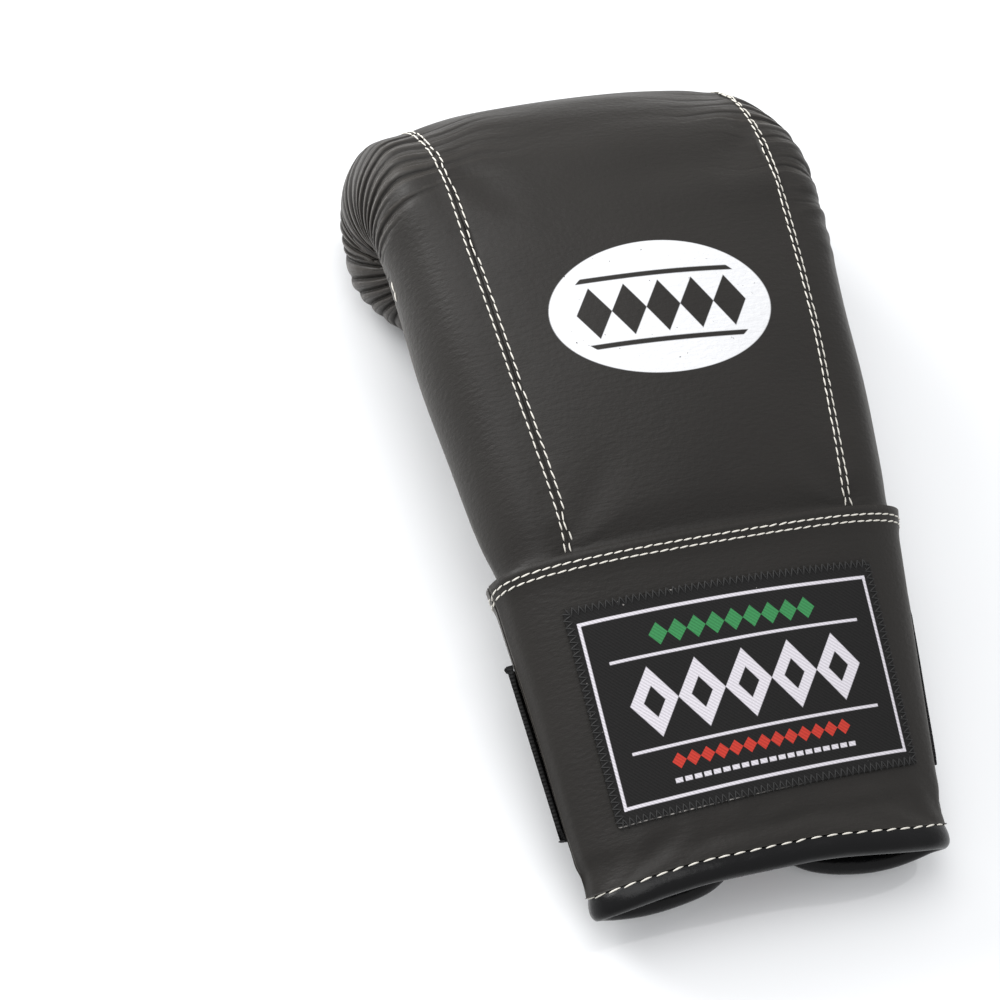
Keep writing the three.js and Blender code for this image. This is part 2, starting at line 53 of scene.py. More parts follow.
# %% [markdown]
# ## Where the picture is taken from
#
# A product photograph of a small thing is taken from far off with a long lens, so that
# near parts don't look swollen. The mitt is seen from above its wrist, from the thumb
# side, with the camera a little turned on its own axis. The three directions below are
# what is right, down and straight ahead in the picture. They could also be found with a
# Track To constraint, but that leaves no room for the turn.

# %% Camera
lens_data = bpy.data.cameras.new("portrait_camera")
lens_data.lens = 106.2
lens_data.sensor_width = 36
lens_data.clip_start = 0.05
camera = bpy.data.objects.new("portrait_camera", lens_data)
bpy.context.scene.collection.objects.link(camera)
picture_right = Vector((0.9264, -0.2775, 0.2543))
picture_down = Vector((-0.1457, -0.8873, -0.4375))
picture_ahead = Vector((0.3471, 0.3682, -0.8625))
turn = Matrix((picture_right, -picture_down, -picture_ahead)).transposed()
camera_place = Vector((-0.38567, -0.34845, 0.84579))
camera.matrix_world = Matrix.Translation(camera_place) @ turn.to_4x4()
bpy.context.scene.camera = camera
print("camera distance", round(camera.location.length, 3), "m")

# %% [markdown]
# ## Table and light
#
# Dark leather needs large, soft lamps: it shows hardly any colour of its own, and reads
# by what it reflects. A white room with a big panel over the mitt and a lower one on the
# thumb side gives broad highlights. The table is white with a glossy coat, so that it
# shows a faint reflection of what stands on it.


# %% Helpers for selecting and adding
def only(piece):
    """Makes a piece the one selected and active object."""
    bpy.ops.object.select_all(action="DESELECT")
    piece.select_set(True)
    bpy.context.view_layer.objects.active = piece
    return piece


def apply_modifier(piece, kind, **settings):
    """Adds a modifier with its settings and applies it."""
    only(piece)
    modifier = piece.modifiers.new(kind.title(), kind)
    for key, value in settings.items():
        setattr(modifier, key, value)
    bpy.ops.object.modifier_apply(modifier=modifier.name)


def panel_light(name, place, size, power):
    """A square soft lamp that shines at the mitt."""
    data = bpy.data.lights.new(name, "AREA")
    data.shape = "RECTANGLE"
    data.size, data.size_y = size
    data.energy = power
    lamp = bpy.data.objects.new(name, data)
    bpy.context.scene.collection.objects.link(lamp)
    away = Vector(place) - Vector((0, 0, 0.04))
    aim = away.to_track_quat("Z", "Y").to_matrix().to_4x4()
    lamp.matrix_world = Matrix.Translation(place) @ aim


# %% Room, lamps and table
scene = bpy.context.scene
scene.view_settings.view_transform = "Standard"
room = bpy.data.worlds.new("white_room")
room.use_nodes = True
room.node_tree.nodes["Background"].inputs["Color"].default_value = (0.98, 0.985, 1, 1)
room.node_tree.nodes["Background"].inputs["Strength"].default_value = 0.78
scene.world = room
panel_light("overhead_panel", (-0.25, 0.35, 1.1), (0.9, 0.9), 7)
panel_light("side_panel", (-0.75, 0.85, 0.55), (0.7, 0.5), 13)

bpy.ops.object.select_all(action="DESELECT")
bpy.ops.mesh.primitive_plane_add(size=6, location=(0, 0, 0))
table = bpy.context.object
table.name = "table"
print("table", [round(v, 2) for v in table.dimensions])

# %% [markdown]
# ## Working with shader values as numbers
#
# A node tree that is built link by link hides the formula in it. A wire stands for one
# value in the tree, and +, -, * and / on wires add the Math nodes. Any other node comes
# from the finish's own method, which first makes its settings and then joins its inputs.


# %% Wires
class Wire:
    """One value of a node tree, which can be worked with like a number."""

    def __init__(self, finish, socket):
        self.finish = finish
        self.socket = socket

    def math(self, operation, *others):
        values = dict(enumerate((self, *others)))
        return self.finish.node("Math", {"operation": operation}, values)

    def __add__(self, other):
        return self.math("ADD", other)

    def __radd__(self, other):
        return self + other

    def __mul__(self, other):
        return self.math("MULTIPLY", other)

    def __rmul__(self, other):
        return self * other

    def __sub__(self, other):
        return self.math("SUBTRACT", other)

    def __rsub__(self, other):
        return self * -1 + other

    def __truediv__(self, other):
        return self.math("DIVIDE", other)


# %% Finishes
class Finish:
    """A material whose nodes are added one call at a time."""

    def __init__(self, name):
        self.material = bpy.data.materials.new(name)
        self.material.use_nodes = True
        self.tree = self.material.node_tree
        self.shader = self.tree.nodes["Principled BSDF"]

    def node(self, kind, settings=None, values=None, output=0):
        """Adds a node, makes its settings and then joins its inputs."""
        made = self.tree.nodes.new("ShaderNode" + kind)
        for key, value in (settings or {}).items():
            setattr(made, key, value)
        for key, value in (values or {}).items():
            self.join(value, made.inputs[key])
        return Wire(self, made.outputs[output])

    def join(self, value, socket):
        if isinstance(value, Wire):
            self.tree.links.new(value.socket, socket)
        else:
            socket.default_value = value

    def set(self, **values):
        """Joins or sets the shader's sockets, named with _ for a space."""
        for key, value in values.items():
            self.join(value, self.shader.inputs[key.replace("_", " ")])
        return self

    def place(self):
        return self.node("TexCoord", output=3)

    def axis(self, vector, k):
        """The x, y or z of a vector, for k from 0 to 2."""
        return self.node("SeparateXYZ", None, {"Vector": vector}, output=k)

    def attribute(self, name):
        return self.node("Attribute", {"attribute_name": name}, output=2)

    def noise(self, scale, detail=3.0, roughness=0.5, place=None):
        values = {"Vector": place or self.place(), "Scale": scale, "Detail": detail}
        return self.node("TexNoise", None, {**values, "Roughness": roughness})

    def stretch(self, scale):
        return self.node("Mapping", None, {"Vector": self.place(), "Scale": scale})

    def mix(self, factor, low, high):
        """A colour between two, by a factor."""
        values = {0: factor, 6: low, 7: high}
        return self.node("Mix", {"data_type": "RGBA"}, values, output=2)

    def clamp(self, value, low=0.0, high=1.0):
        return self.node("Clamp", None, {"Value": value, "Min": low, "Max": high})

    def ramp(self, value, low, high):
        """0 below low, 1 above high and even in between."""
        return self.clamp((value - low) / (high - low))

    def bump(self, height, depth, after=None):
        """Relief of a height from 0 to 1, with its full depth in metres."""
        values = {"Height": height, "Distance": depth, "Strength": 1.0}
        if after:
            values["Normal"] = after
        return self.node("Bump", None, values)

    def on(self, piece):
        piece.data.materials.clear()
        piece.data.materials.append(self.material)
        return piece


# %% Table finish
table_top = Finish("white_table")
table_top.set(Base_Color=(0.87, 0.88, 0.89, 1), Roughness=table_top.noise(3.0) * 0.08 + 0.3)
table_top.set(Coat_Weight=0.8, Coat_Roughness=0.06, Coat_IOR=2.0)
table_top.set(Emission_Color=(1, 1, 1, 1), Emission_Strength=0.05)
table_top.on(table)

# %% [markdown]
# ## The mitt's own lines
#
# Seams, stitches and gathers all follow the same few lines: the profile that runs from
# the cuff over the knuckles to the finger end, and the squared oval of the cuff. Both
# are written here once, in millimetres, with the sizes that the CAD model was made with.

# %% Sizes of the padded body and of the cuff, in millimetres
joint_y = -32.0  # joint between the cuff and the body
seam_gap = 0.3
joint_height, back_height = 58.5, 73.0  # top of the back at the joint and over the fold
back_length, back_arch = 121.5, 4.0  # joint to the finger fold, and the rise between them
tuck_length, tuck_sink = 13.0, 2.45  # where the padding rises out of the joint
fold_y, fold_z = 89.5, 32.2  # centre of the finger fold
knuckle_reach, crease_half = 47.5, 1.2
finger_end_half, flat_length = 15.5, 8.0  # half thickness and flat stretch of the finger end
tip_length, tip_bend = 13.0, 78.0
cuff_length, palm_setback = 105.0, 5.0  # the palm's rim ends short of the back's
joint_thickness, rim_height, rim_bottom = 41.5, 24.0, 1.35
joint_half_width, rim_half_width = 70.5, 62.5
cuff_squareness = 2.8  # exponent of the cuff's oval section
back_rows = [
    # along, half width of the seam, crown
    (0.0, 49.45, 4.1),
    (0.15, 50.6, 5.2),
    (0.45, 54.05, 5.5),
    (0.8, 56.64, 4.7),
    (1.0, 57.5, 4.1),
    (1.5, 57.5, 3.0),
    (2.0, 56.35, 0.0),
    (3.0, 54.05, 0.0),
    (4.0, 51.75, 0.0),
]


# %% Profile of the padded body
def smooth(t):
    """0 below 0, 1 above 1 and an even S in between."""
    t = np.clip(t, 0, 1)
    return t * t * (3 - 2 * t)


def rising(values, start, length):
    """0 up to a start, 1 from a length past it and an even S in between."""
    return smooth((values - start) / length)


def between(rows, column, at):
    """A column of a table of rows, read off at a place on the smooth curve through it."""
    last = len(rows) - 1
    k = 0
    while k < last - 1 and at > rows[k + 1][0]:
        k += 1

    def slope(j):
        before, after = rows[max(j - 1, 0)], rows[min(j + 1, last)]
        return (after[column] - before[column]) / (after[0] - before[0])

    span = rows[k + 1][0] - rows[k][0]
    t = (at - rows[k][0]) / span
    return (
        (2 * t**3 - 3 * t**2 + 1) * rows[k][column]
        + (t**3 - 2 * t**2 + t) * span * slope(k)
        + (3 * t**2 - 2 * t**3) * rows[k + 1][column]
        + (t**3 - t**2) * span * slope(k + 1)
    )


def body_profile(along):
    """Outer point of the body in the YZ plane and the direction that is outward there."""
    if along <= 1:
        y = joint_y + seam_gap / 2 + (back_length - seam_gap / 2) * along
        tuck = 1 - smooth(along * back_length / tuck_length)
        z = joint_height + (back_height - joint_height) * along
        z += back_arch * math.sin(math.pi * along) - tuck_sink * tuck
        return np.array([y, z]), np.array([0.0, 1.0])
    if along <= 2:
        angle = math.radians(90 - 180 * (along - 1))
        rise = back_height - fold_z if along <= 1.5 else fold_z
        arm = np.array([knuckle_reach * math.cos(angle), rise * math.sin(angle)])
        hub = crease_half * np.array([math.cos(angle), math.sin(angle)])
        up = (arm - hub) / np.linalg.norm(arm - hub)
        return np.array([fold_y, fold_z]) + arm, up
    if along <= 3:
        return np.array([fold_y - flat_length * (along - 2), 0.0]), np.array([0.0, -1.0])
    bend = math.radians(tip_bend * (along - 3))
    y = fold_y - flat_length - tip_length * math.sin(bend) / math.sin(math.radians(tip_bend))
    return np.array([y, finger_end_half * (1 - math.cos(bend))]), np.array([0.0, -1.0])


def back_seam(side):
    """Points along a double seam of the back, from the joint to the finger end's tip."""
    points = []
    for along in np.linspace(0, 4, 700):
        outer, up = body_profile(along)
        outer = outer - up * between(back_rows, 2, along)
        points.append([side * between(back_rows, 1, along), *outer])
    return np.array(points)


# %% Oval of the cuff
def cuff_section(down):
    """Half width, middle, upward direction and half thickness of the cuff's section."""
    share = down / cuff_length
    palm_height = joint_height - joint_thickness
    outer = np.array([joint_y - down, joint_height - (joint_height - rim_height) * share])
    inner_z = palm_height - (palm_height - rim_bottom) * share
    inner = np.array([joint_y - down + palm_setback * share, inner_z])
    thickness = np.linalg.norm(outer - inner)
    half_width = joint_half_width - (joint_half_width - rim_half_width) * share
    return half_width, (outer + inner) / 2, (outer - inner) / thickness, thickness / 2


def cuff_ring(down, steps, first, last, depth=0.0):
    """Points round the cuff at a distance from the joint and a depth in its wall."""
    half_width, middle, up, half = cuff_section(down)
    ring = []
    for angle in np.radians(np.linspace(first, last, steps)):
        c, s = math.cos(angle), math.sin(angle)
        x = (half_width - depth) * math.copysign(abs(c) ** (2 / cuff_squareness), c)
        n = (half - depth) * math.copysign(abs(s) ** (2 / cuff_squareness), s)
        ring.append([x, *(middle + n * up)])
    return np.array(ring)


# %% Lines of points
def lengths_along(line):
    """The length of a line up to each of its points."""
    return np.concatenate([[0], np.cumsum(np.linalg.norm(np.diff(line, axis=0), axis=1))])


def at_places(at, known, rows):
    """Rows of x, y and z read off at other places along a line."""
    return np.stack([np.interp(at, known, rows[:, c]) for c in range(3)], axis=1)


def eased(rows, half):
    """Each row as the mean of its neighbours up to half a window away."""
    window = np.ones(2 * half + 1) / (2 * half + 1)
    padded = np.pad(rows, ((half, half), (0, 0)), "edge")
    return np.stack([np.convolve(padded[:, c], window, "valid") for c in range(3)], axis=1)


def tree_of(line):
    """A search tree that finds the point of a line nearest to a place."""
    tree = KDTree(len(line))
    for k, point in enumerate(line):
        tree.insert(point, k)
    tree.balance()
    return tree


print("double seam", round(lengths_along(back_seam(1))[-1]), "mm long")
print("cuff joint", round(lengths_along(cuff_ring(3, 180, -88, 268))[-1]), "mm round")

# %% [markdown]
# ## From a CAD solid to a padded panel
#
# A foam pad under leather is taut in its middle and held down at its seams. It could be
# sculpted by hand, but a cloth simulation with air pressure gives that form by itself.
# Each panel starts as a copy of its solid, taken in a little because it will swell. Its
# seam edges are creased and pinned, the pressure fills it, and no point may move
# further than a cap. One more subdivision then makes room for the folds.


# %% Copy and crease
def copy_of(node, name):
    """A new object with a merged copy of a CAD node's mesh, four-sided where it can be."""
    piece = bpy.data.objects.new(name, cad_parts[node].data.copy())
    scene.collection.objects.link(piece)
    only(piece)
    bpy.ops.object.mode_set(mode="EDIT")
    bpy.ops.mesh.select_all(action="SELECT")
    bpy.ops.mesh.remove_doubles(threshold=0.00002)
    steep = math.radians(60)
    bpy.ops.mesh.tris_convert_to_quads(face_threshold=steep, shape_threshold=steep)
    bpy.ops.object.mode_set(mode="OBJECT")
    bpy.ops.mesh.customdata_custom_splitnormals_clear()
    bpy.ops.object.shade_smooth()
    return piece


def crease_edges(piece, degrees):
    """Marks the edges that turn by more than an angle, so that they stay sharp."""
    mesh = bmesh.new()
    mesh.from_mesh(piece.data)
    layer = mesh.edges.layers.float.get("crease_edge")
    layer = layer or mesh.edges.layers.float.new("crease_edge")
    for edge in mesh.edges:
        edge[layer] = float(edge.calc_face_angle(0) > math.radians(degrees))
    mesh.to_mesh(piece.data)
    mesh.free()


# %% The skin of a piece
def skin_of(piece, seed, degrees=50):
    """The stretch of skin round a point, up to its sharp edges.

    Gives the vertices inside it, all its vertices, and the direction outwards at each
    vertex of the piece. That is zero off the skin, and the cut faces have no part in it."""
    mesh = bmesh.new()
    mesh.from_mesh(piece.data)
    seed = Vector(seed) * MM
    first = min(mesh.faces, key=lambda f: (f.calc_center_median() - seed).length)
    limit = math.radians(degrees)
    found = {first}
    front = [first]
    while front:
        for edge in front.pop().edges:
            if edge.calc_face_angle(0) > limit:
                continue
            for other in edge.link_faces:
                if other not in found:
                    found.add(other)
                    front.append(other)
    inside = [v.index for v in mesh.verts if all(f in found for f in v.link_faces)]
    touched = sorted({v.index for f in found for v in f.verts})
    outward = np.zeros((len(mesh.verts), 3))
    for face in found:
        share = np.array(face.normal) * face.calc_area()
        for vertex in face.verts:
            outward[vertex.index] += share
    mesh.free()
    outward /= np.maximum(np.linalg.norm(outward, axis=1, keepdims=True), 1e-12)
    return np.array(sorted(inside)), np.array(touched), outward


# %% Subdivide, read and move points
def subdivide(piece, levels):
    apply_modifier(piece, "SUBSURF", levels=levels, render_levels=levels)


def places(piece):
    """A piece's points in millimetres."""
    co = np.empty(len(piece.data.vertices) * 3)
    piece.data.vertices.foreach_get("co", co)
    return co.reshape(-1, 3) / MM


def put_places(piece, points):
    """Moves a piece's points to places in millimetres."""
    piece.data.vertices.foreach_set("co", (points * MM).ravel())
    piece.data.update()


def normals(piece):
    """The direction outwards at each point."""
    values = np.empty(len(piece.data.vertices) * 3)
    piece.data.vertex_normals.foreach_get("vector", values)
    return values.reshape(-1, 3)


# %% Relax
def relax(piece, which, rounds):
    """Evens out ripples of some vertices, each towards the middle of its neighbours."""
    mesh = bmesh.new()
    mesh.from_mesh(piece.data)
    mesh.verts.ensure_lookup_table()
    chosen = [mesh.verts[i] for i in which]
    for _ in range(rounds):
        bmesh.ops.smooth_vert(
            mesh, verts=chosen, factor=0.5, use_axis_x=True, use_axis_y=True, use_axis_z=True
        )
    mesh.to_mesh(piece.data)
    mesh.free()


# %% Puff
puff_frames = 20  # length of the simulation


def puff(piece, seed, start_in, cap, pressure=4.0):
    """Fills a panel with air between its pinned seams, and caps how far it moves."""
    free, _, outward = skin_of(piece, seed)
    points = places(piece)
    points[free] -= outward[free] * start_in
    put_places(piece, points)
    held = piece.vertex_groups.new(name="held")
    pinned = np.setdiff1d(np.arange(len(points)), free)
    held.add(pinned.tolist(), 1.0, "REPLACE")
    only(piece)
    cloth = piece.modifiers.new("Cloth", "CLOTH")
    cloth.settings.quality = 5
    cloth.settings.use_pressure = True
    cloth.settings.uniform_pressure_force = pressure
    cloth.settings.vertex_group_mass = "held"
    cloth.settings.effector_weights.gravity = 0
    cloth.collision_settings.use_collision = False
    cloth.point_cache.frame_start = 1
    cloth.point_cache.frame_end = puff_frames
    for step in range(1, puff_frames + 1):
        scene.frame_set(step)
    bpy.ops.object.modifier_apply(modifier="Cloth")
    piece.vertex_groups.clear()
    moved = places(piece) - points
    far = np.linalg.norm(moved, axis=1, keepdims=True)
    put_places(piece, points + moved * np.minimum(1, cap / np.maximum(far, 1e-9)))
    scene.frame_set(1)
    print(piece.name, "swelled by up to", round(float(far.max()), 2), "mm, capped at", cap)


# %% [markdown]
# ## The padded body
#
# Three panels cover the foam: the back, which runs over the knuckles and under to the
# finger end, and a side gusset on each side. The gussets are cut longer than the fold
# that they go round, so they are sewn in with dense little pleats that fan out from the
# crease. The pleats are worked out in elliptic coordinates round the crease, because
# their lines leave it at a right angle and close up at its end, as the real ones do.


# %% Pleats round the finger crease
crease_front, crease_tail = 90.5, 67.0
pleat_angles = [*range(-150, -40, 11), *np.arange(-36, 100, 6.2), *range(104, 150, 9)]
pleat_seeds = {-1: 7, 1: 19}


def crease_coordinates(points):
    """Distance and direction (degrees) from the crease, in elliptic coordinates."""
    half = (crease_front - crease_tail) / 2
    middle = (crease_front + crease_tail) / 2
    plane = (points[:, 1] - middle) / half + 1j * (points[:, 2] - fold_z) / half
    wave = np.arccosh(plane)
    flip = np.where(points[:, 2] < fold_z, -1, 1)
    return np.abs(wave.real), np.degrees(np.abs(wave.imag)) * flip


def pleat_phase(points, side):
    """Counts the pleats up from the lowest one; a whole number is a stitched-in valley."""
    random = np.random.default_rng(pleat_seeds[side])
    away, direction = crease_coordinates(points)
    sway = random.uniform(0, 6, 3)
    direction = direction + 2.2 * np.sin(2.6 * away + direction / 23 + sway[0])
    direction = direction + 1.2 * np.sin(0.21 * points[:, 0] + direction / 9 + sway[1])
    valleys = np.array(pleat_angles) + random.uniform(-1.3, 1.3, len(pleat_angles))
    phase = np.interp(direction, valleys, np.arange(len(valleys)), left=-1, right=len(valleys))
    return away, direction, phase


# %% Depth of the pleats
def pleat_depth(points, side):
    """How far the pleats draw the leather in, in millimetres, their phase and strength."""
    random = np.random.default_rng(pleat_seeds[side] + 50)
    away, direction, phase = pleat_phase(points, side)
    reach = random.uniform(1.7, 2.7, len(pleat_angles) + 3)
    strength = random.uniform(0.45, 1.15, len(pleat_angles) + 3)
    number = np.clip(np.round(phase).astype(int) + 1, 0, len(reach) - 1)
    shorter = {-1: 0.62, 1: 0.28}[side]
    ends = reach[number] * (1 - shorter * rising(direction, 45, 40))
    envelope = rising(away, 0.08, 0.35) * (1 - rising(away, ends * 0.62, ends * 0.5))
    envelope *= 1 - 0.75 * rising(-direction, 108, 25) - 0.7 * rising(direction, 112, 30)
    if side > 0:
        envelope *= 1 - 0.65 * rising(direction, 74, 26)
    valley = 1 - np.abs(np.sin(math.pi * phase)) ** 0.75
    edge = (phase > -0.9) & (phase < len(pleat_angles) - 0.1)
    return 1.35 * strength[number] * envelope * valley * edge, phase, envelope * edge


# %% Form of the front
def fill_front(points):
    """Fills out the front over the knuckles and tapers the finger end to its tip."""
    under = smooth((fold_z + 4 - points[:, 2]) / 12) * smooth((96 - points[:, 1]) / 26)
    points = points.copy()
    points[:, 0] *= 1 - 0.055 * under
    aside = (points[:, 0] - 24) / np.where(points[:, 0] > 24, 58, 80)
    middle = 1 - np.clip(np.abs(aside), 0, 1) ** 3
    points[:, 1] += 3.1 * middle * smooth((points[:, 1] - 88) / 40)
    return points


# %% Distances to the seams
def distance_to(line):
    """A function that measures how far points are from a line."""
    tree = tree_of(line)
    return lambda points: np.array([tree.find(p)[2] for p in points])


def add_values(piece, name, values):
    """Stores one number per vertex for the finish to read."""
    layer = piece.data.attributes.new(name, "FLOAT", "POINT")
    layer.data.foreach_set("value", np.asarray(values, dtype=np.float32))


def soft_noise(points, size, seed):
    """Slow, even ups and downs between -1 and 1, made of a few crossing waves."""
    random = np.random.default_rng(seed)
    total = np.zeros(len(points))
    for _ in range(6):
        direction = random.normal(size=3)
        direction /= np.linalg.norm(direction)
        turn = random.uniform(0, 2 * math.pi)
        total += np.sin(points @ direction * 2 * math.pi / size * random.uniform(0.7, 1.4) + turn)
    return total / 4


# %% Folds of a panel
def back_folds(points):
    """Broad folds across the knuckles and fine ones over the front, in millimetres."""
    x, y, z = points.T
    slanted = points @ np.array([[0.16, 0.02, 0.0], [0.0, 1.0, 0.1], [0.0, 0.1, 1.0]])
    lengthways = points * np.array([0.13, 1.0, 0.9])
    return (
        0.3 * rising(np.abs(x), 14, 44) * rising(y, 70, 30) * soft_noise(points, 14, 3)
        + 0.5 * rising(y, 42, 50) * soft_noise(slanted, 19, 5)
        + 0.26 * rising(y, 98, 22) * rising(z, 16, 16) * soft_noise(lengthways, 7.5, 29)
    )


def side_fullness(points, side, near):
    """How far a side's padding stands out away from its seams, less its ripples."""
    x, y, z = points.T
    full = rising(near, 1, 14)
    if side < 0:
        above, lobe = rising(z, 30, 8), rising(y, 76, 22)
        return full * (above * (2.2 + 1.2 * lobe) + (1 - above) * (0.6 + 2.8 * lobe))
    corner = rising(y, 92, 30) * rising(z, 20, 30)
    beside = rising(x, 58, 14) * rising(z, 24, 12) * rising(near, 2, 9)
    fading = rising(y, 44, 36) * (1 - rising(y, 94, 22))
    ripples = soft_noise(points * np.array([0.2, 1.0, 0.3]), 8.0, 23)
    return full * (2.2 - 2.6 * corner) - 0.75 * ripples * beside * fading


def finish_panel(piece, side, seed):
    """Pleats, folds, seams and tucks of a swollen panel."""
    points = fill_front(places(piece))
    put_places(piece, points)
    _, skin_points, outward = skin_of(piece, seed, 40)
    near = np.minimum(from_seam[-1](points), from_seam[1](points))
    if side:
        depth, phase, strength = pleat_depth(points, side)
        depth = depth - side_fullness(points, side, near)
    else:
        across = rising(np.abs(points[:, 0]), 14, 44)
        both = zip(pleat_depth(points, 1), pleat_depth(points, -1))
        depth, phase, strength = [np.where(points[:, 0] > 0, *pair) for pair in both]
        strength = strength * across * 0.5
        depth = depth * across * 0.3 + back_folds(points)
    seam_dip = 0.45 * np.exp(-((near / 1.7) ** 2)) + 0.45 * np.exp(-((near / 6.0) ** 2))
    puckers = 0.16 * soft_noise(points, 8, 13) * np.exp(-((near / 5) ** 2))
    depth = depth + seam_dip + puckers + 0.35 * soft_noise(points, 46, 11)
    put_places(piece, points - outward * depth[:, None])
    on_skin = np.zeros(len(points))
    on_skin[skin_points] = 1
    add_values(piece, "pleat_phase", phase)
    add_values(piece, "pleat_strength", strength * on_skin)


# %% Build the three panels
# node, name and a place on the skin, by the panel's side
panel_makes = {
    0: ("back_panel", "padded_back", (0, 40, 76)),
    -1: ("side_gusset_thumb", "padded_side_thumb", (-84, 60, 50)),
    1: ("side_gusset_little", "padded_side_little", (84, 60, 50)),
}
padded_panels = {}
for side, (node, name, seed) in panel_makes.items():
    panel = copy_of(node, name)
    crease_edges(panel, 58)
    if side:
        relax(panel, skin_of(panel, seed, 58)[0], 7)
    subdivide(panel, 1)
    puff(panel, seed, start_in=1.0 if side == 0 else 0.2, cap=2.2)
    subdivide(panel, 2)
    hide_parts(node)
    padded_panels[side] = panel
    print(name, len(panel.data.polygons), "faces")

# %% [markdown]
# ## Closing the double seams
#
# Two panels are sewn together edge to edge, so no gap may show between them. The border
# of each skin is measured beside the seam's line, both borders are moved onto the line
# midway between them, and the leather beside it is eased along. The folds, tucks and the
# dip at the seam come after that, so that they run on from one panel to the next. Merging
# the panels would close the gap too, but then they would no longer be pieces of their own.


# %% Draw the seams together
def rim_along(piece, seed, side, line, tree):
    """The edge of a panel's skin beside a seam, for each point of the seam's line."""
    inside, touched, _ = skin_of(piece, seed, 40)
    rim = places(piece)[np.setdiff1d(touched, inside)]
    rim = rim[rim[:, 0] * side > 30]
    found = [tree.find(p) for p in rim]
    kept = [(k, p) for (_, k, far), p in zip(found, rim) if far < 4.5]
    kept.sort(key=lambda pair: pair[0])
    offsets = np.array([p - line[k] for k, p in kept])
    return at_places(np.arange(len(line)), [k for k, _ in kept], eased(offsets, 4))


def pull_to(piece, side, line, tree, edge, seam):
    """Moves the border of a panel onto the seam and eases the skin beside it."""
    points = places(piece)
    for i in np.flatnonzero(points[:, 0] * side > 30):
        _, k, far = tree.find(points[i])
        if far < 9:
            rim = line[k] + edge[k]
            share = 1 - smooth(np.linalg.norm(points[i] - rim) / 5.5)
            points[i] += (seam[k] - rim) * share * 0.97
    put_places(piece, points)


seam_lines, from_seam = {}, {}
for side in (-1, 1):
    line = back_seam(side)
    tree = tree_of(line)
    edges = [rim_along(padded_panels[k], panel_makes[k][2], side, line, tree) for k in (0, side)]
    seam = line + (edges[0] + edges[1]) / 2
    for k, edge in zip((0, side), edges):
        pull_to(padded_panels[k], side, line, tree, edge, seam)
    seam_lines[side] = fill_front(seam)
    from_seam[side] = distance_to(seam_lines[side])
    gap = np.linalg.norm(edges[0] - edges[1], axis=1)
    print("seam", side, "closed from a gap of up to", gap.max().round(2), "mm")

for side, panel in padded_panels.items():
    finish_panel(panel, side, panel_makes[side][2])

# %% [markdown]
# ## Palm, thumb and cuff
#
# The palm is one layer of leather, cut open for the wrist slit and the thumb. The thumb
# stall is a small pouch sewn over its hole. The cuff is a flat, lightly padded tube:
# one piece over the back of the wrist, and two flaps that leave the slit between them.

# %% Palm and thumb stall
def soft_copy(node, name, crease, levels, wave):
    """A CAD node's leather, smoothed and waved by a depth, at a size and a seed."""
    piece = copy_of(node, name)
    crease_edges(piece, crease)
    subdivide(piece, levels)
    depth, size, seed = wave
    points = places(piece)
    put_places(piece, points - normals(piece) * (depth * soft_noise(points, size, seed))[:, None])
    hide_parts(node)
    return piece


palm = soft_copy("palm_panel", "palm_leather", 50, 1, (0.25, 30, 21))
thumb = soft_copy("thumb_stall", "thumb_leather", 58, 3, (0.5, 22, 23))
print("palm", len(palm.data.polygons), "faces, thumb", len(thumb.data.polygons))


# %% Form of the cuff
stitch_channels = (3.0, 5.1)  # distances of the two rows of stitches from the joint
rim_dip = 91.0


def from_joint(points):
    """How far down the cuff a point lies, in millimetres from the joint to the rim."""
    return joint_y - points[:, 1]


def bowed(points):
    """Lets the rim of both flaps hang out a little and the rim of the back arch up."""
    points = points.copy()
    half = np.clip((np.abs(points[:, 0]) - 12) / 46, 0, 1)
    near_rim = smooth((from_joint(points) - 76) / 26)
    middle = 37.0 - 0.25 * from_joint(points)
    palm_side = smooth((middle - points[:, 2]) / 6 + 0.5)
    points[:, 1] -= 3.4 * np.sin(math.pi * half) * near_rim * palm_side
    points[:, 1] -= 3.9 * smooth((np.abs(points[:, 0] + 8) - 14) / 50) * near_rim
    arch = np.clip(1 - (points[:, 0] / 62) ** 4, 0, 1)
    points[:, 2] += 2.8 * arch * near_rim * (1 - palm_side)
    wide = np.clip(1 - from_joint(points) / 120, 0, 1) * smooth((from_joint(points) + 6) / 6)
    points[:, 0] -= 2.0 * smooth((-points[:, 0] - 35) / 30) * wide
    return points


def finish_cuff(piece, seed):
    """A folded top edge over two stitched channels, a dip along the rim, slow waves."""
    points = places(piece)
    down = from_joint(points)
    outward = skin_of(piece, seed, 40)[2]
    lift = 0.7 * smooth((8 - down) / 3)
    for channel in stitch_channels:
        lift -= 0.4 * np.exp(-(((down - channel) / 0.9) ** 2))
    lift -= 0.8 * np.exp(-(((down - rim_dip) / 3.5) ** 2))
    lift += 0.45 * soft_noise(points, 55, 31)
    lift += 0.3 * soft_noise(points, 8, 33) * np.exp(-(((down - rim_dip + 2) / 5) ** 2))
    put_places(piece, bowed(points + outward * lift[:, None]))


# %% Cuff back and flaps
cuff_pieces = []
for node, name, seed in [
    ("cuff_back", "cuff_leather", (0, -90, 60)),
    ("cuff_flap_thumb", "cuff_flap_leather_thumb", (-45, -80, -10)),
    ("cuff_flap_little", "cuff_flap_leather_little", (45, -80, -10)),
]:
    piece = copy_of(node, name)
    crease_edges(piece, 58)
    subdivide(piece, 1)
    puff(piece, seed, start_in=0.4, cap=1.0, pressure=2.0)
    subdivide(piece, 2)
    finish_cuff(piece, seed)
    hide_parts(node)
    cuff_pieces.append(piece)
    print(name, len(piece.data.polygons), "faces")

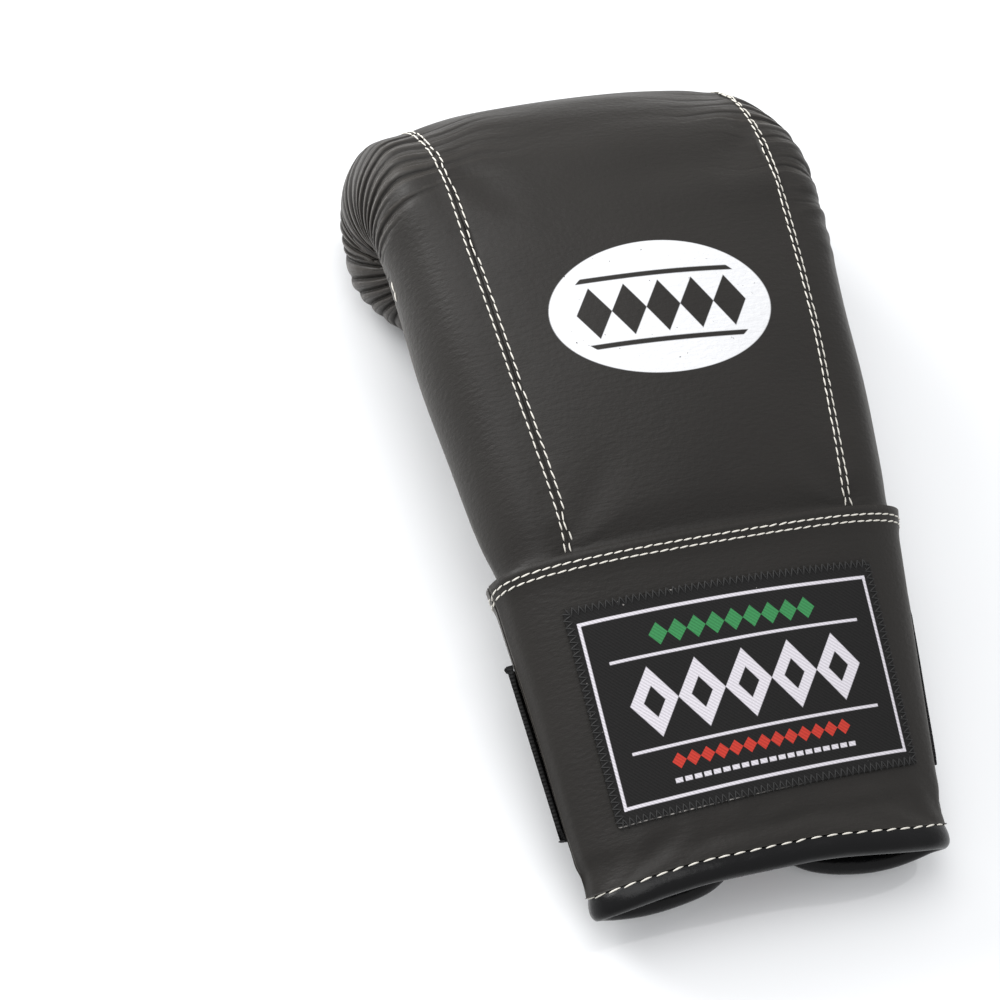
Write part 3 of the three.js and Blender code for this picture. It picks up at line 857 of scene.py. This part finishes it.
# %% [markdown]
# ## The rolled binding
#
# A strip of smooth leather is wrapped round the raw edge of the cuff and along the slit,
# and one row of long stitches holds it down on both sides. The CAD model has it as a
# round cord. Here each ring of the cord is drawn out over the wall that it wraps, which
# needs the cord's centre line and, at each of its points, the way into the wall. A curve
# with a bevel profile would also do, but it can't tell which side the wall is on.

# %% Centre line of the binding
binding_radius = 3.6
rim_down = cuff_length - binding_radius
corner_radius = 12.0  # where the slit meets the rim
corner_x, corner_down = 18.6, rim_down - corner_radius
slit_rows = [
    # place from the rim (0) over the joint (1) to the slit's end (2), clear half width
    (0.0, 3.0),
    (0.5, 4.75),
    (1.0, 6.5),
    (2.0, 9.0),
]
slit_reach, slit_end_radius = 20.0, 12.6
wall_middle = 2.25  # depth of the middle of the cuff's wall


def slit_half(down):
    """Clear half width of the slit at a distance from the joint, negative in the palm."""
    return between(slit_rows, 1, 1 - down / (cuff_length if down > 0 else slit_reach))


def palm_wall(x, down):
    """Middle of the wall on the palm side, on the cuff or on the palm leather."""
    if down <= 0:
        along = -down / back_length
        tuck = 1 - smooth(-down / tuck_length)
        return np.array([x, joint_y - down, 18.5 + 16.4 * along + 1.4 * tuck])
    half_width, middle, up, half = cuff_section(down)
    a, b = half_width - wall_middle, half - wall_middle
    n = -b * (1 - abs(x / a) ** cuff_squareness) ** (1 / cuff_squareness)
    return np.array([x, *(middle + n * up)])


def binding_line():
    """Points of the centre line and, for each, a point further into the wall."""
    into_wall = 4.0
    half = []
    for angle in np.radians(np.linspace(86, 0, 7)):
        ends = [
            (radius * math.cos(angle), -slit_reach - radius * math.sin(angle))
            for radius in (slit_end_radius, slit_end_radius + 3.4)
        ]
        half.append([palm_wall(*end) for end in ends])
    for down in [*np.linspace(-16, 0.5, 5), *np.linspace(5, corner_down, 14)]:
        x = slit_half(down) + binding_radius
        half.append([palm_wall(x, down), palm_wall(x + into_wall, down)])
    for angle in np.radians(np.linspace(190, 262, 7)):
        ends = [
            (corner_x + radius * math.cos(angle), corner_down - radius * math.sin(angle))
            for radius in (corner_radius, corner_radius - into_wall)
        ]
        half.append([palm_wall(*end) for end in ends])
    half_width = cuff_section(rim_down)[0]
    cosine = (corner_x / (half_width - wall_middle)) ** (cuff_squareness / 2)
    start = math.degrees(math.acos(cosine))
    around = cuff_ring(rim_down, 46, -start, 180 + start, wall_middle)
    inner = cuff_ring(rim_down - into_wall, 46, -start, 180 + start, wall_middle)
    line = half + list(zip(around, inner))
    line += [(a * [-1, 1, 1], b * [-1, 1, 1]) for a, b in reversed(half)]
    return np.array([a for a, _ in line]), np.array([b for _, b in line])


def even_line(points, spacing):
    """The same line with evenly spaced points, and the length up to each old point."""
    lengths = lengths_along(points)
    at = np.linspace(0, lengths[-1], max(int(lengths[-1] / spacing), 2) + 1)
    return at_places(at, lengths, points), lengths


line, into = binding_line()
centre, lengths = even_line(line, 1.0)
wall_way = at_places(np.linspace(0, lengths[-1], len(centre)), lengths, into - line)
tangent = np.gradient(centre, axis=0)
tangent /= np.linalg.norm(tangent, axis=1, keepdims=True)
wall_way -= tangent * (wall_way * tangent).sum(1, keepdims=True)
wall_way /= np.linalg.norm(wall_way, axis=1, keepdims=True)
out_way = np.cross(wall_way, tangent)
print("binding", round(lengths[-1]), "mm long")

# %% Draw the binding out over its wall
binding = copy_of("rim_binding", "rolled_binding")
crease_edges(binding, 75)
subdivide(binding, 2)


def join_ends(points):
    """Moves the cord's two ends, which part in a V at the slit's end, onto each other."""
    gap = np.clip(0.03 + 0.258 * (points[:, 1] + 2.4), 0, 2) * (points[:, 1] > -16)
    x = np.abs(points[:, 0])
    points[:, 0] -= np.sign(points[:, 0]) * gap * (1 - smooth((x - gap) / 5)) * (x < 8)
    return points


def draw_out(points):
    """Draws the cord's rings out over the wall, flattens them there and adds waves."""
    tree = tree_of(centre)
    nearest = np.array([tree.find(p)[1] for p in points])
    into_wall, outwards = wall_way[nearest], out_way[nearest]
    arm = points - centre[nearest]
    inward = (arm * into_wall).sum(1)
    outward = (arm * outwards).sum(1)
    reach = np.clip(inward / binding_radius, 0, 1)
    wave = 0.22 * soft_noise(points, 16, 41) * (inward < 2)
    aside = wave * np.sign(outward) - outward * 0.16 * smooth(reach * 1.2)
    return points + into_wall * (2.6 * reach**0.8)[:, None] + outwards * aside[:, None]


put_places(binding, bowed(draw_out(join_ends(places(binding)))))
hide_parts("rim_binding")
print("binding", len(binding.data.polygons), "faces")

# %% [markdown]
# ## Elastic, lining and patch
#
# The elastic is a wide black webbing that lies over the flaps on the palm side. The
# lining is a ribbed red cloth, which shows where the cuff opens. Both keep the form of
# their solids and get their threads from their finish, because a rib is under a tenth
# of a millimetre high. The patch is woven: a flat sheet cut to a slightly skewed
# rectangle, laid on the finished leather of the cuff and given its thickness there.

# %% Elastic and lining
band_top, band_bottom = 25, 81  # distances of the band's edges from the joint

elastic = copy_of("elastic_band", "ribbed_elastic")
crease_edges(elastic, 58)
subdivide(elastic, 3)
points = places(elastic)
from_edge = np.minimum(from_joint(points) - band_top, band_bottom - from_joint(points))
outward = skin_of(elastic, (-60, -83, 2), 40)[2]
press = 0.9 * (1 - smooth(from_edge / 5)) + 0.12 * soft_noise(points, 25, 51)
press += 1.7 * smooth((-points[:, 0] - 58) / 8)
put_places(elastic, bowed(points - outward * press[:, None]))
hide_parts("elastic_band")

lining = copy_of("cuff_lining", "red_lining")
crease_edges(lining, 58)
subdivide(lining, 2)
put_places(lining, bowed(places(lining)))
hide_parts("cuff_lining")
print("elastic", len(elastic.data.polygons), "faces, lining", len(lining.data.polygons))


# %% Ground that stitches and the patch lie on
def ground_of(pieces):
    """A search tree over the surfaces of some pieces, in millimetres."""
    all_points, all_faces, base = [], [], 0
    for piece in pieces:
        points = places(piece)
        all_points.append(points)
        all_faces += [[base + v for v in face.vertices] for face in piece.data.polygons]
        base += len(points)
    return BVHTree.FromPolygons(np.concatenate(all_points).tolist(), all_faces)


body_ground = ground_of(padded_panels.values())
cuff_ground = ground_of(cuff_pieces)
binding_ground = ground_of([binding])

# %% Woven patch
patch_corners = {
    "rim_left": (-52.3, -114.8),
    "rim_right": (53.9, -113.0),
    "joint_left": (-56.6, -48.0),
    "joint_right": (50.6, -49.0),
}
patch_lift, patch_thickness = 0.25, 0.8
above_all = 120  # a height over every piece, from which rays go down


def laid_on(ground, x, y):
    """Where a point comes to lie on a ground, and the ground's direction outwards."""
    spot, normal, _, _ = ground.ray_cast(Vector((x, y, above_all)), Vector((0, 0, -1)))
    return np.array(spot), np.array(normal)


bpy.ops.object.select_all(action="DESELECT")
bpy.ops.mesh.primitive_grid_add(x_subdivisions=76, y_subdivisions=48, size=1)
patch = bpy.context.object
patch.name = "woven_patch"
share_x, share_y, _ = (places(patch) * MM + 0.5).T[..., None]
corners = {name: np.array(corner) for name, corner in patch_corners.items()}
rim_side = corners["rim_left"] * (1 - share_x) + corners["rim_right"] * share_x
joint_side = corners["joint_left"] * (1 - share_x) + corners["joint_right"] * share_x
laid = []
for x, y in rim_side * (1 - share_y) + joint_side * share_y:
    spot, normal = laid_on(cuff_ground, x, y)
    laid.append(spot + normal * (patch_lift + patch_thickness / 2))
put_places(patch, np.array(laid))
apply_modifier(patch, "SMOOTH", factor=0.5, iterations=6)
apply_modifier(patch, "SOLIDIFY", thickness=patch_thickness * MM, offset=0)
apply_modifier(patch, "BEVEL", width=0.25 * MM, segments=2, limit_method="ANGLE")
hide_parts("woven_label")
print("patch", [round(v / MM) for v in patch.dimensions], "mm,", len(patch.data.polygons), "faces")

# %% [markdown]
# ## Thread
#
# The seams are topstitched with a thick cream thread. Every stitch is a short, plump
# piece of thread that goes down into the leather at both ends. One is modelled, and
# then it is set along each row at the machine's stitch length, turned with the row and
# laid on the finished leather. A Curve modifier with an Array would follow the row too,
# but it wouldn't lie on the folds.

# %% One stitch
bpy.ops.object.select_all(action="DESELECT")
bpy.ops.mesh.primitive_uv_sphere_add(segments=8, ring_count=7, radius=0.5)
stitch = bpy.context.object
bpy.ops.object.mode_set(mode="EDIT")
bpy.ops.mesh.select_all(action="SELECT")
bpy.ops.transform.rotate(value=math.pi / 2, orient_axis="Y", center_override=(0, 0, 0))
bpy.ops.object.mode_set(mode="OBJECT")
stitch_points = places(stitch) * MM
stitch_points[:, 2] -= 1.1 * stitch_points[:, 0] ** 2
stitch_faces = [list(face.vertices) for face in stitch.data.polygons]
bpy.data.objects.remove(stitch)
print("one stitch has", len(stitch_faces), "faces")


# %% Sew a row
def sew(name, rows, ground, pitch, length, width, lift=0.12, across=0.0, slant=6.0, seed=1):
    """Sets stitches along rows of points and joins them into one piece of thread."""
    random = np.random.default_rng(seed)
    all_points, all_faces = [], []
    for row in rows:
        line, lengths = even_line(row, 0.5)
        total = lengths[-1]
        count = max(int(total / pitch), 1)
        reached = lengths_along(line)
        for k in range(count):
            at = (k + 0.5 + random.uniform(-0.04, 0.04)) * total / count
            before, here, after = at_places([at - pitch / 3, at, at + pitch / 3], reached, line)
            spot, normal, _, _ = ground.find_nearest(Vector(here))
            normal = np.array(normal)
            forward = after - before
            forward -= normal * (forward @ normal)
            forward /= max(np.linalg.norm(forward), 1e-9)
            side = np.cross(normal, forward)
            turn = math.radians(across * (-1) ** k + slant) + random.normal(0, 0.035)
            along = forward * math.cos(turn) + side * math.sin(turn)
            side = np.cross(normal, along)
            size = np.array([length * random.uniform(0.94, 1.06), width, width])
            turned = (stitch_points * size) @ np.array([along, side, normal])
            base = len(all_points) * len(stitch_points)
            all_points.append(np.array(spot) + normal * lift + turned)
            all_faces += [[base + v for v in face] for face in stitch_faces]
    mesh = bpy.data.meshes.new(name)
    mesh.from_pydata((np.concatenate(all_points) * MM).tolist(), [], all_faces)
    thread = bpy.data.objects.new(name, mesh)
    scene.collection.objects.link(thread)
    only(thread)
    bpy.ops.object.shade_smooth()
    print(name, len(all_points), "stitches")
    return thread


# %% Rows on the body and the thumb stall
row_aside = 1.15  # the two rows' distance from the seam between them
thick_thread = {"pitch": 3.35, "length": 3.1, "width": 0.55}


def beside_seam(side, aside):
    """A line that runs beside a seam of the back, aside measured outwards in x."""
    line = eased(seam_lines[side][:690], 6)
    ahead = np.gradient(line, axis=0)
    ahead /= np.linalg.norm(ahead, axis=1, keepdims=True)
    over = np.array([1.0, 0.0, 0.0]) - ahead * ahead[:, :1]
    over /= np.linalg.norm(over, axis=1, keepdims=True)
    return line + side * aside * over


seam_rows = [beside_seam(side, way * row_aside) for side in (-1, 1) for way in (-1, 1)]
seam_thread = sew("back_seam_thread", seam_rows, body_ground, **thick_thread)

stall_middle, stall_reach = np.array([-41.0, 13.0, 20.0]), np.array([19.0, 34.5, 0.0])
angles = np.radians(np.linspace(0, 360, 120))
circle = np.stack([np.cos(angles), np.sin(angles), 0 * angles], axis=1)
stall_row = stall_middle + circle * stall_reach
stall_thread = sew("stall_thread", [stall_row], ground_of([palm]), **thick_thread, seed=6)

# Ties that hold the crease closed on the thumb side, each from one end to the other
crease_ties = [
    np.array([(-74.4, 94.9, 33.2), (-72.9, 92.0, 30.2)]),
    np.array([(-76.9, 74.4, 45.8), (-76.6, 71.2, 45.5)]),
    np.array([(-76.6, 71.4, 45.4), (-76.2, 67.7, 44.5)]),
]
crease_thread = sew("crease_thread", crease_ties, body_ground, 4.6, 3.6, 0.6, slant=-14.0, seed=5)

# %% Rows on the cuff
slit_angle = 9  # half of the slit, in degrees round the cuff
round_cuff = {"steps": 220, "first": -90 + slit_angle, "last": 270 - slit_angle}
joint_rows = [bowed(cuff_ring(down, **round_cuff)) for down in stitch_channels]
joint_thread = sew("joint_thread", joint_rows, cuff_ground, **thick_thread, seed=2)

binding_row = bowed(centre + wall_way * 4.6 + out_way * 2.6)
binding_row = np.concatenate([binding_row, binding_row[:1]])
binding_thread = sew("binding_thread", [binding_row], binding_ground, 5.3, 4.2, 0.62, seed=3)


def patch_edge(inset):
    """The patch's outline, a little inside its edge."""
    order = ("rim_left", "rim_right", "joint_right", "joint_left")
    outline = np.array([patch_corners[k] for k in order])
    outline -= np.sign(outline - outline.mean(0)) * inset
    ring = []
    for a, b in zip(outline, np.roll(outline, -1, axis=0)):
        for t in np.linspace(0, 1, 60, endpoint=False):
            ring.append(laid_on(patch_ground, *(a * (1 - t) + b * t))[0])
    return np.array([*ring, ring[0]])


patch_ground = ground_of([patch])
patch_thread = sew(
    "patch_thread", [patch_edge(1.4)], patch_ground, 1.1, 3.2, 0.5, lift=0.1, across=68, seed=4
)

# %% [markdown]
# ## Leather
#
# The mitt is all black, so its pieces are told apart by gloss and grain alone. Cowhide
# has a fine pebble of pores and creases, and it turns glossier where it is stretched over
# a ridge. The pebble comes from a Voronoi texture, because its cells meet in sharp little
# valleys as the skin's do; plain noise would look like suede. The pleats get their finest
# tucks here too, from the pleat count that each panel's points carry. Their ridges are
# painted lighter, a painted highlight, and their valleys darker, a painted shade.
# The binding is the same finish, smoother and shinier.

# %% Oval print on the back
print_centre, print_half, print_turn = (0.0003, 0.0408), (0.0385, 0.0228), -0.03
ink_colour, ink_roughness = (0.7, 0.705, 0.72, 1), 0.42


def oval_print(made):
    """How much white ink lies at a point: an oval with diamonds and two lines left bare."""
    x, y, z = [made.axis(made.place(), k) for k in range(3)]
    x, y = x - print_centre[0], y - print_centre[1]
    across = (x * math.cos(print_turn) + y * math.sin(print_turn)) / print_half[0]
    along = (y * math.cos(print_turn) - x * math.sin(print_turn)) / print_half[1]
    radius = (across * across + along * along).math("SQRT")
    oval = made.ramp(radius, 1.006, 0.994) * made.ramp(z, 0.05, 0.052)
    lines = made.ramp((along.math("ABSOLUTE") - 0.5).math("ABSOLUTE"), 0.045, 0.03)
    step = (across * 3.25).math("PINGPONG", 0.5) * 2.0
    diamonds = made.ramp(step + along.math("ABSOLUTE") * 2.6, 1.04, 0.98)
    diamonds = diamonds * made.ramp(across.math("ABSOLUTE"), 0.775, 0.765)
    bare = made.clamp(diamonds + lines) * made.ramp(radius, 0.86, 0.85)
    worn = made.ramp(made.noise(900.0, 3.0), 0.24, 0.3)
    return oval * (1.0 - bare) * worn


# %% Leather finish
def ridges(made, count, power):
    """0 in the valleys of a count of pleats and 1 on the ridges between them."""
    return (count * math.pi).math("SINE").math("ABSOLUTE").math("POWER", power)


def leather_finish(name, colour, gloss, grain, printed=False):
    """Pebbled leather whose pleats and pores are worked into its relief."""
    made = Finish(name)

    def shade(share):
        return [channel * share for channel in colour] + [1]

    pebble = made.node(
        "TexVoronoi",
        {"feature": "SMOOTH_F1"},
        {"Vector": made.place(), "Scale": 620.0, "Smoothness": 0.6, "Randomness": 1.0},
    )
    pores = made.noise(1900.0, 2.0)
    crazing = made.noise(1.0, 4.0, 0.6, made.stretch((260.0, 900.0, 420.0)))
    broad = made.noise(22.0, 4.0, 0.55)
    relief = made.bump(pebble * 0.6 + pores * 0.4, 0.00009 * grain)
    relief = made.bump(crazing, 0.00016 * grain, relief)

    phase, strength = made.attribute("pleat_phase"), made.attribute("pleat_strength")
    wander = made.noise(60.0, 2.0) * 0.5
    major = ridges(made, phase + wander * 0.2, 0.45)
    minor = ridges(made, phase * 2.0 + wander, 0.6)
    pleats = (major * 0.7 + minor * 0.3 - 1.0) * strength + 1.0
    relief = made.bump(pleats, 0.0013, relief)

    # ridge is above 0 on a pleat's ridge and below 0 in its valley; the ridges are also made
    # glossier
    ridge = (major - 0.72) * strength
    tone = made.mix(broad, shade(0.8), shade(1.25))
    # Painted highlight: the colour is lightened on the pleat ridges. Painted shade: the colour is
    # darkened in the pleat valleys.
    tone = made.mix(made.clamp(ridge * 3.0), tone, shade(3.3))
    tone = made.mix(made.clamp(ridge * -1.6), tone, shade(0.35))
    rough = gloss + (broad - 0.5) * 0.12 + (pebble - 0.5) * 0.05 - ridge * 0.3
    if printed:
        ink = oval_print(made)
        tone = made.mix(ink, tone, ink_colour)
        rough = rough * (1.0 - ink) + ink * ink_roughness
    made.set(Base_Color=tone, Roughness=made.clamp(rough, 0.15, 0.9), Normal=relief)
    made.set(Specular_IOR_Level=0.12 + 0.15 * grain, Sheen_Weight=0.14 * grain - 0.07)
    made.set(Sheen_Roughness=0.45, Sheen_Tint=(1, 0.93, 0.82, 1))
    return made


hide_colour = (0.0132, 0.0117, 0.0102)
leather = leather_finish("black_leather", hide_colour, 0.5, 1.0)
printed_leather = leather_finish("printed_leather", hide_colour, 0.5, 1.0, True)
smooth_leather = leather_finish("binding_leather", (0.0028, 0.0028, 0.0032), 0.28, 0.5)
print("leather finish of", len(leather.tree.nodes), "nodes")

# %% [markdown]
# ## Elastic, lining and thread
#
# Cloth and thread are dull, because light is lost between their fibres. A fine noise
# stands for the fibres. The elastic and the lining also have ribs, made with a Wave
# texture: they are so even that modelling them would add faces but no look.


# %% Cloth and thread
def fibre_finish(name, dark, light, fuzz, rough, ribs=None):
    """Thread, or cloth with ribs.

    Fuzz holds the scale, detail and depth of the fibres, rough its least value and its
    range, and ribs their direction, scale, distortion and depth. Depths are in metres."""
    made = Finish(name)
    scale, detail, depth = fuzz
    fibres = made.noise(scale, detail)
    shade, relief = fibres, None
    if ribs:
        direction, rib_scale, distortion, rib_depth = ribs
        shade = made.node(
            "TexWave",
            {"wave_type": "BANDS", "bands_direction": direction},
            {"Vector": made.place(), "Scale": rib_scale, "Distortion": distortion, "Detail": 1.0},
        )
        relief = made.bump(shade, rib_depth)
    least, spread = rough
    return made.set(
        Base_Color=made.mix(shade, (*dark, 1), (*light, 1)),
        Roughness=least + fibres * spread,
        Normal=made.bump(fibres, depth, relief),
    )


band_cloth = fibre_finish(
    "black_elastic",
    (0.004, 0.004, 0.004),
    (0.012, 0.012, 0.012),
    fuzz=(1500.0, 2.0, 0.0001),
    rough=(0.85, 0.1),
    ribs=("Y", 260.0, 0.3, 0.0004),
).set(Specular_IOR_Level=0.3)
red_cloth = fibre_finish(
    "red_lining_cloth",
    (0.22, 0.006, 0.012),
    (0.5, 0.016, 0.032),
    fuzz=(900.0, 3.0, 0.00012),
    rough=(0.8, 0.15),
    ribs=("X", 330.0, 0.4, 0.0003),
)
cream_thread = fibre_finish(
    "cream_thread",
    (0.55, 0.52, 0.45),
    (0.85, 0.83, 0.77),
    fuzz=(1700.0, 2.0, 0.00012),
    rough=(0.6, 0.2),
)
black_thread = fibre_finish(
    "black_thread",
    (0.004, 0.004, 0.004),
    (0.02, 0.02, 0.02),
    fuzz=(2200.0, 2.0, 0.0001),
    rough=(0.55, 0.25),
)
fibre_finishes = [band_cloth, red_cloth, cream_thread, black_thread]
print("finishes of fibres:", ", ".join(made.material.name for made in fibre_finishes))

# %% [markdown]
# ## Woven patch
#
# A woven patch has its picture in the cloth itself: coloured yarn comes to the surface
# where it shows and stands a little higher there. So the same masks make the colour and
# the relief. They are worked out from the patch's UV map, in millimetres from its middle,
# because the sheet is skewed and bent. An image would do the same job, but masks stay
# sharp at any distance, and each row's size is a number that can be changed.

# %% Masks on the patch
patch_cloth = Finish("woven_patch_cloth")
patch_uv = patch_cloth.node("UVMap", {"uv_map": "UVMap"})
patch_x = (patch_cloth.axis(patch_uv, 0) - 0.5) * 107.0
patch_y = (patch_cloth.axis(patch_uv, 1) - 0.5) * 66.0


def stripe(value, middle, half, soft=0.12):
    """1 within a half width of a line and 0 away from it."""
    off = (value - middle).math("ABSOLUTE")
    return patch_cloth.ramp(off, half + soft, half - soft)


def within(value, half):
    """1 up to a distance from the middle and 0 past it."""
    return stripe(value, 0.0, half, 0.1)


def lozenges(middle, half_height, pitch, count, fill=1.0):
    """A row of diamonds along the patch."""
    over = (patch_x / pitch).math("PINGPONG", 0.5) * 2.0
    rise = (patch_y - middle).math("ABSOLUTE") / half_height
    row = patch_cloth.ramp(over + rise, fill + 0.02, fill - 0.02)
    return row * within(patch_x, pitch * count / 2)


# %% Rows, frame and yarn of the patch
frame_x, frame_y, frame_half = 49.2, 27.6, 0.5
sides = stripe(patch_x.math("ABSOLUTE"), frame_x, frame_half)
ends = stripe(patch_y.math("ABSOLUTE"), frame_y, frame_half)
border = sides * within(patch_y, frame_y + frame_half)
border = border + ends * within(patch_x, frame_x + frame_half)
big = lozenges(1.0, 10.5, 16.0, 5) * (1.0 - lozenges(1.0, 10.5, 16.0, 5, 0.45))
rails = (stripe(patch_y, 14.6, 0.45) + stripe(patch_y, -12.6, 0.45)) * within(patch_x, 43.0)
green = lozenges(20.4, 3.4, 6.4, 9)
red = lozenges(-17.4, 2.4, 4.8, 13)
gaps = patch_cloth.ramp((patch_x / 3.2).math("PINGPONG", 0.5), 0.1, 0.14)
dashes = stripe(patch_y, -23.0, 0.7) * gaps * within(patch_x, 32.0)
white = patch_cloth.clamp(border + big + rails + dashes)
diagonal = patch_cloth.node(
    "TexWave",
    {"wave_type": "BANDS", "bands_direction": "DIAGONAL"},
    {"Vector": patch_cloth.place(), "Scale": 420.0, "Distortion": 0.2},
)
yarn = patch_cloth.noise(1400.0, 2.0)

# %% Colour and relief of the patch
cloth_tone = patch_cloth.mix(yarn, (0.007, 0.007, 0.007, 1), (0.016, 0.015, 0.015, 1))
cloth_tone = patch_cloth.mix(green, cloth_tone, (0.045, 0.25, 0.085, 1))
cloth_tone = patch_cloth.mix(red, cloth_tone, (0.55, 0.045, 0.03, 1))
cloth_tone = patch_cloth.mix(white, cloth_tone, (0.72, 0.69, 0.74, 1))
yarn_light = patch_cloth.mix(diagonal, (0.78, 0.78, 0.78, 1), (1, 1, 1, 1))
multiply = {"data_type": "RGBA", "blend_type": "MULTIPLY"}
cloth_tone = patch_cloth.node("Mix", multiply, {0: 1.0, 6: cloth_tone, 7: yarn_light}, output=2)

low_edge = stripe(patch_y, -32.75, 0.3, 0.15) * patch_cloth.ramp(patch_x, 12.0, -20.0)
lint = low_edge * patch_cloth.ramp(patch_cloth.noise(420.0, 4.0, 0.7), 0.42, 0.62)
rim_only = 1.0 - within(patch_x, 50.0) * within(patch_y, 28.5)
specks = patch_cloth.ramp(patch_cloth.noise(700.0, 2.0), 0.73, 0.76) * rim_only
dust = patch_cloth.clamp(lint + specks * 0.6)
raised = white * 0.6 + green * 0.6 + red * 0.6 + diagonal * 0.4
patch_cloth.set(
    Base_Color=patch_cloth.mix(dust, cloth_tone, (0.42, 0.4, 0.38, 1)),
    Roughness=0.75 + yarn * 0.15,
    Normal=patch_cloth.bump(yarn, 0.00008, patch_cloth.bump(raised, 0.00018)),
    Specular_IOR_Level=0.25,
)
print("patch finish of", len(patch_cloth.tree.nodes), "nodes")

# %% [markdown]
# ## Putting it together
#
# Every piece gets its finish and the body that it rides on. The mitt bends only as cloth
# does, so it is one body.

# %% Give every piece its finish and its body
plain_pieces = [padded_panels[-1], padded_panels[1], palm, thumb, *cuff_pieces]
cream_rows = [seam_thread, crease_thread, stall_thread, joint_thread, binding_thread]
finished = [
    (leather, "leather", plain_pieces),
    (printed_leather, "leather", [padded_panels[0]]),
    (smooth_leather, "binding", [binding]),
    (band_cloth, "elastic", [elastic]),
    (red_cloth, "lining", [lining]),
    (patch_cloth, "label", [patch]),
    (cream_thread, None, cream_rows),
    (black_thread, None, [patch_thread]),
]
pieces = []
for finish, slot, group in finished:
    for piece in group:
        finish.on(piece)
        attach(piece, "root")
        pieces.append(piece)

# %% Measure and finish
print("triangles", sum(len(p.vertices) - 2 for o in pieces for p in o.data.polygons))
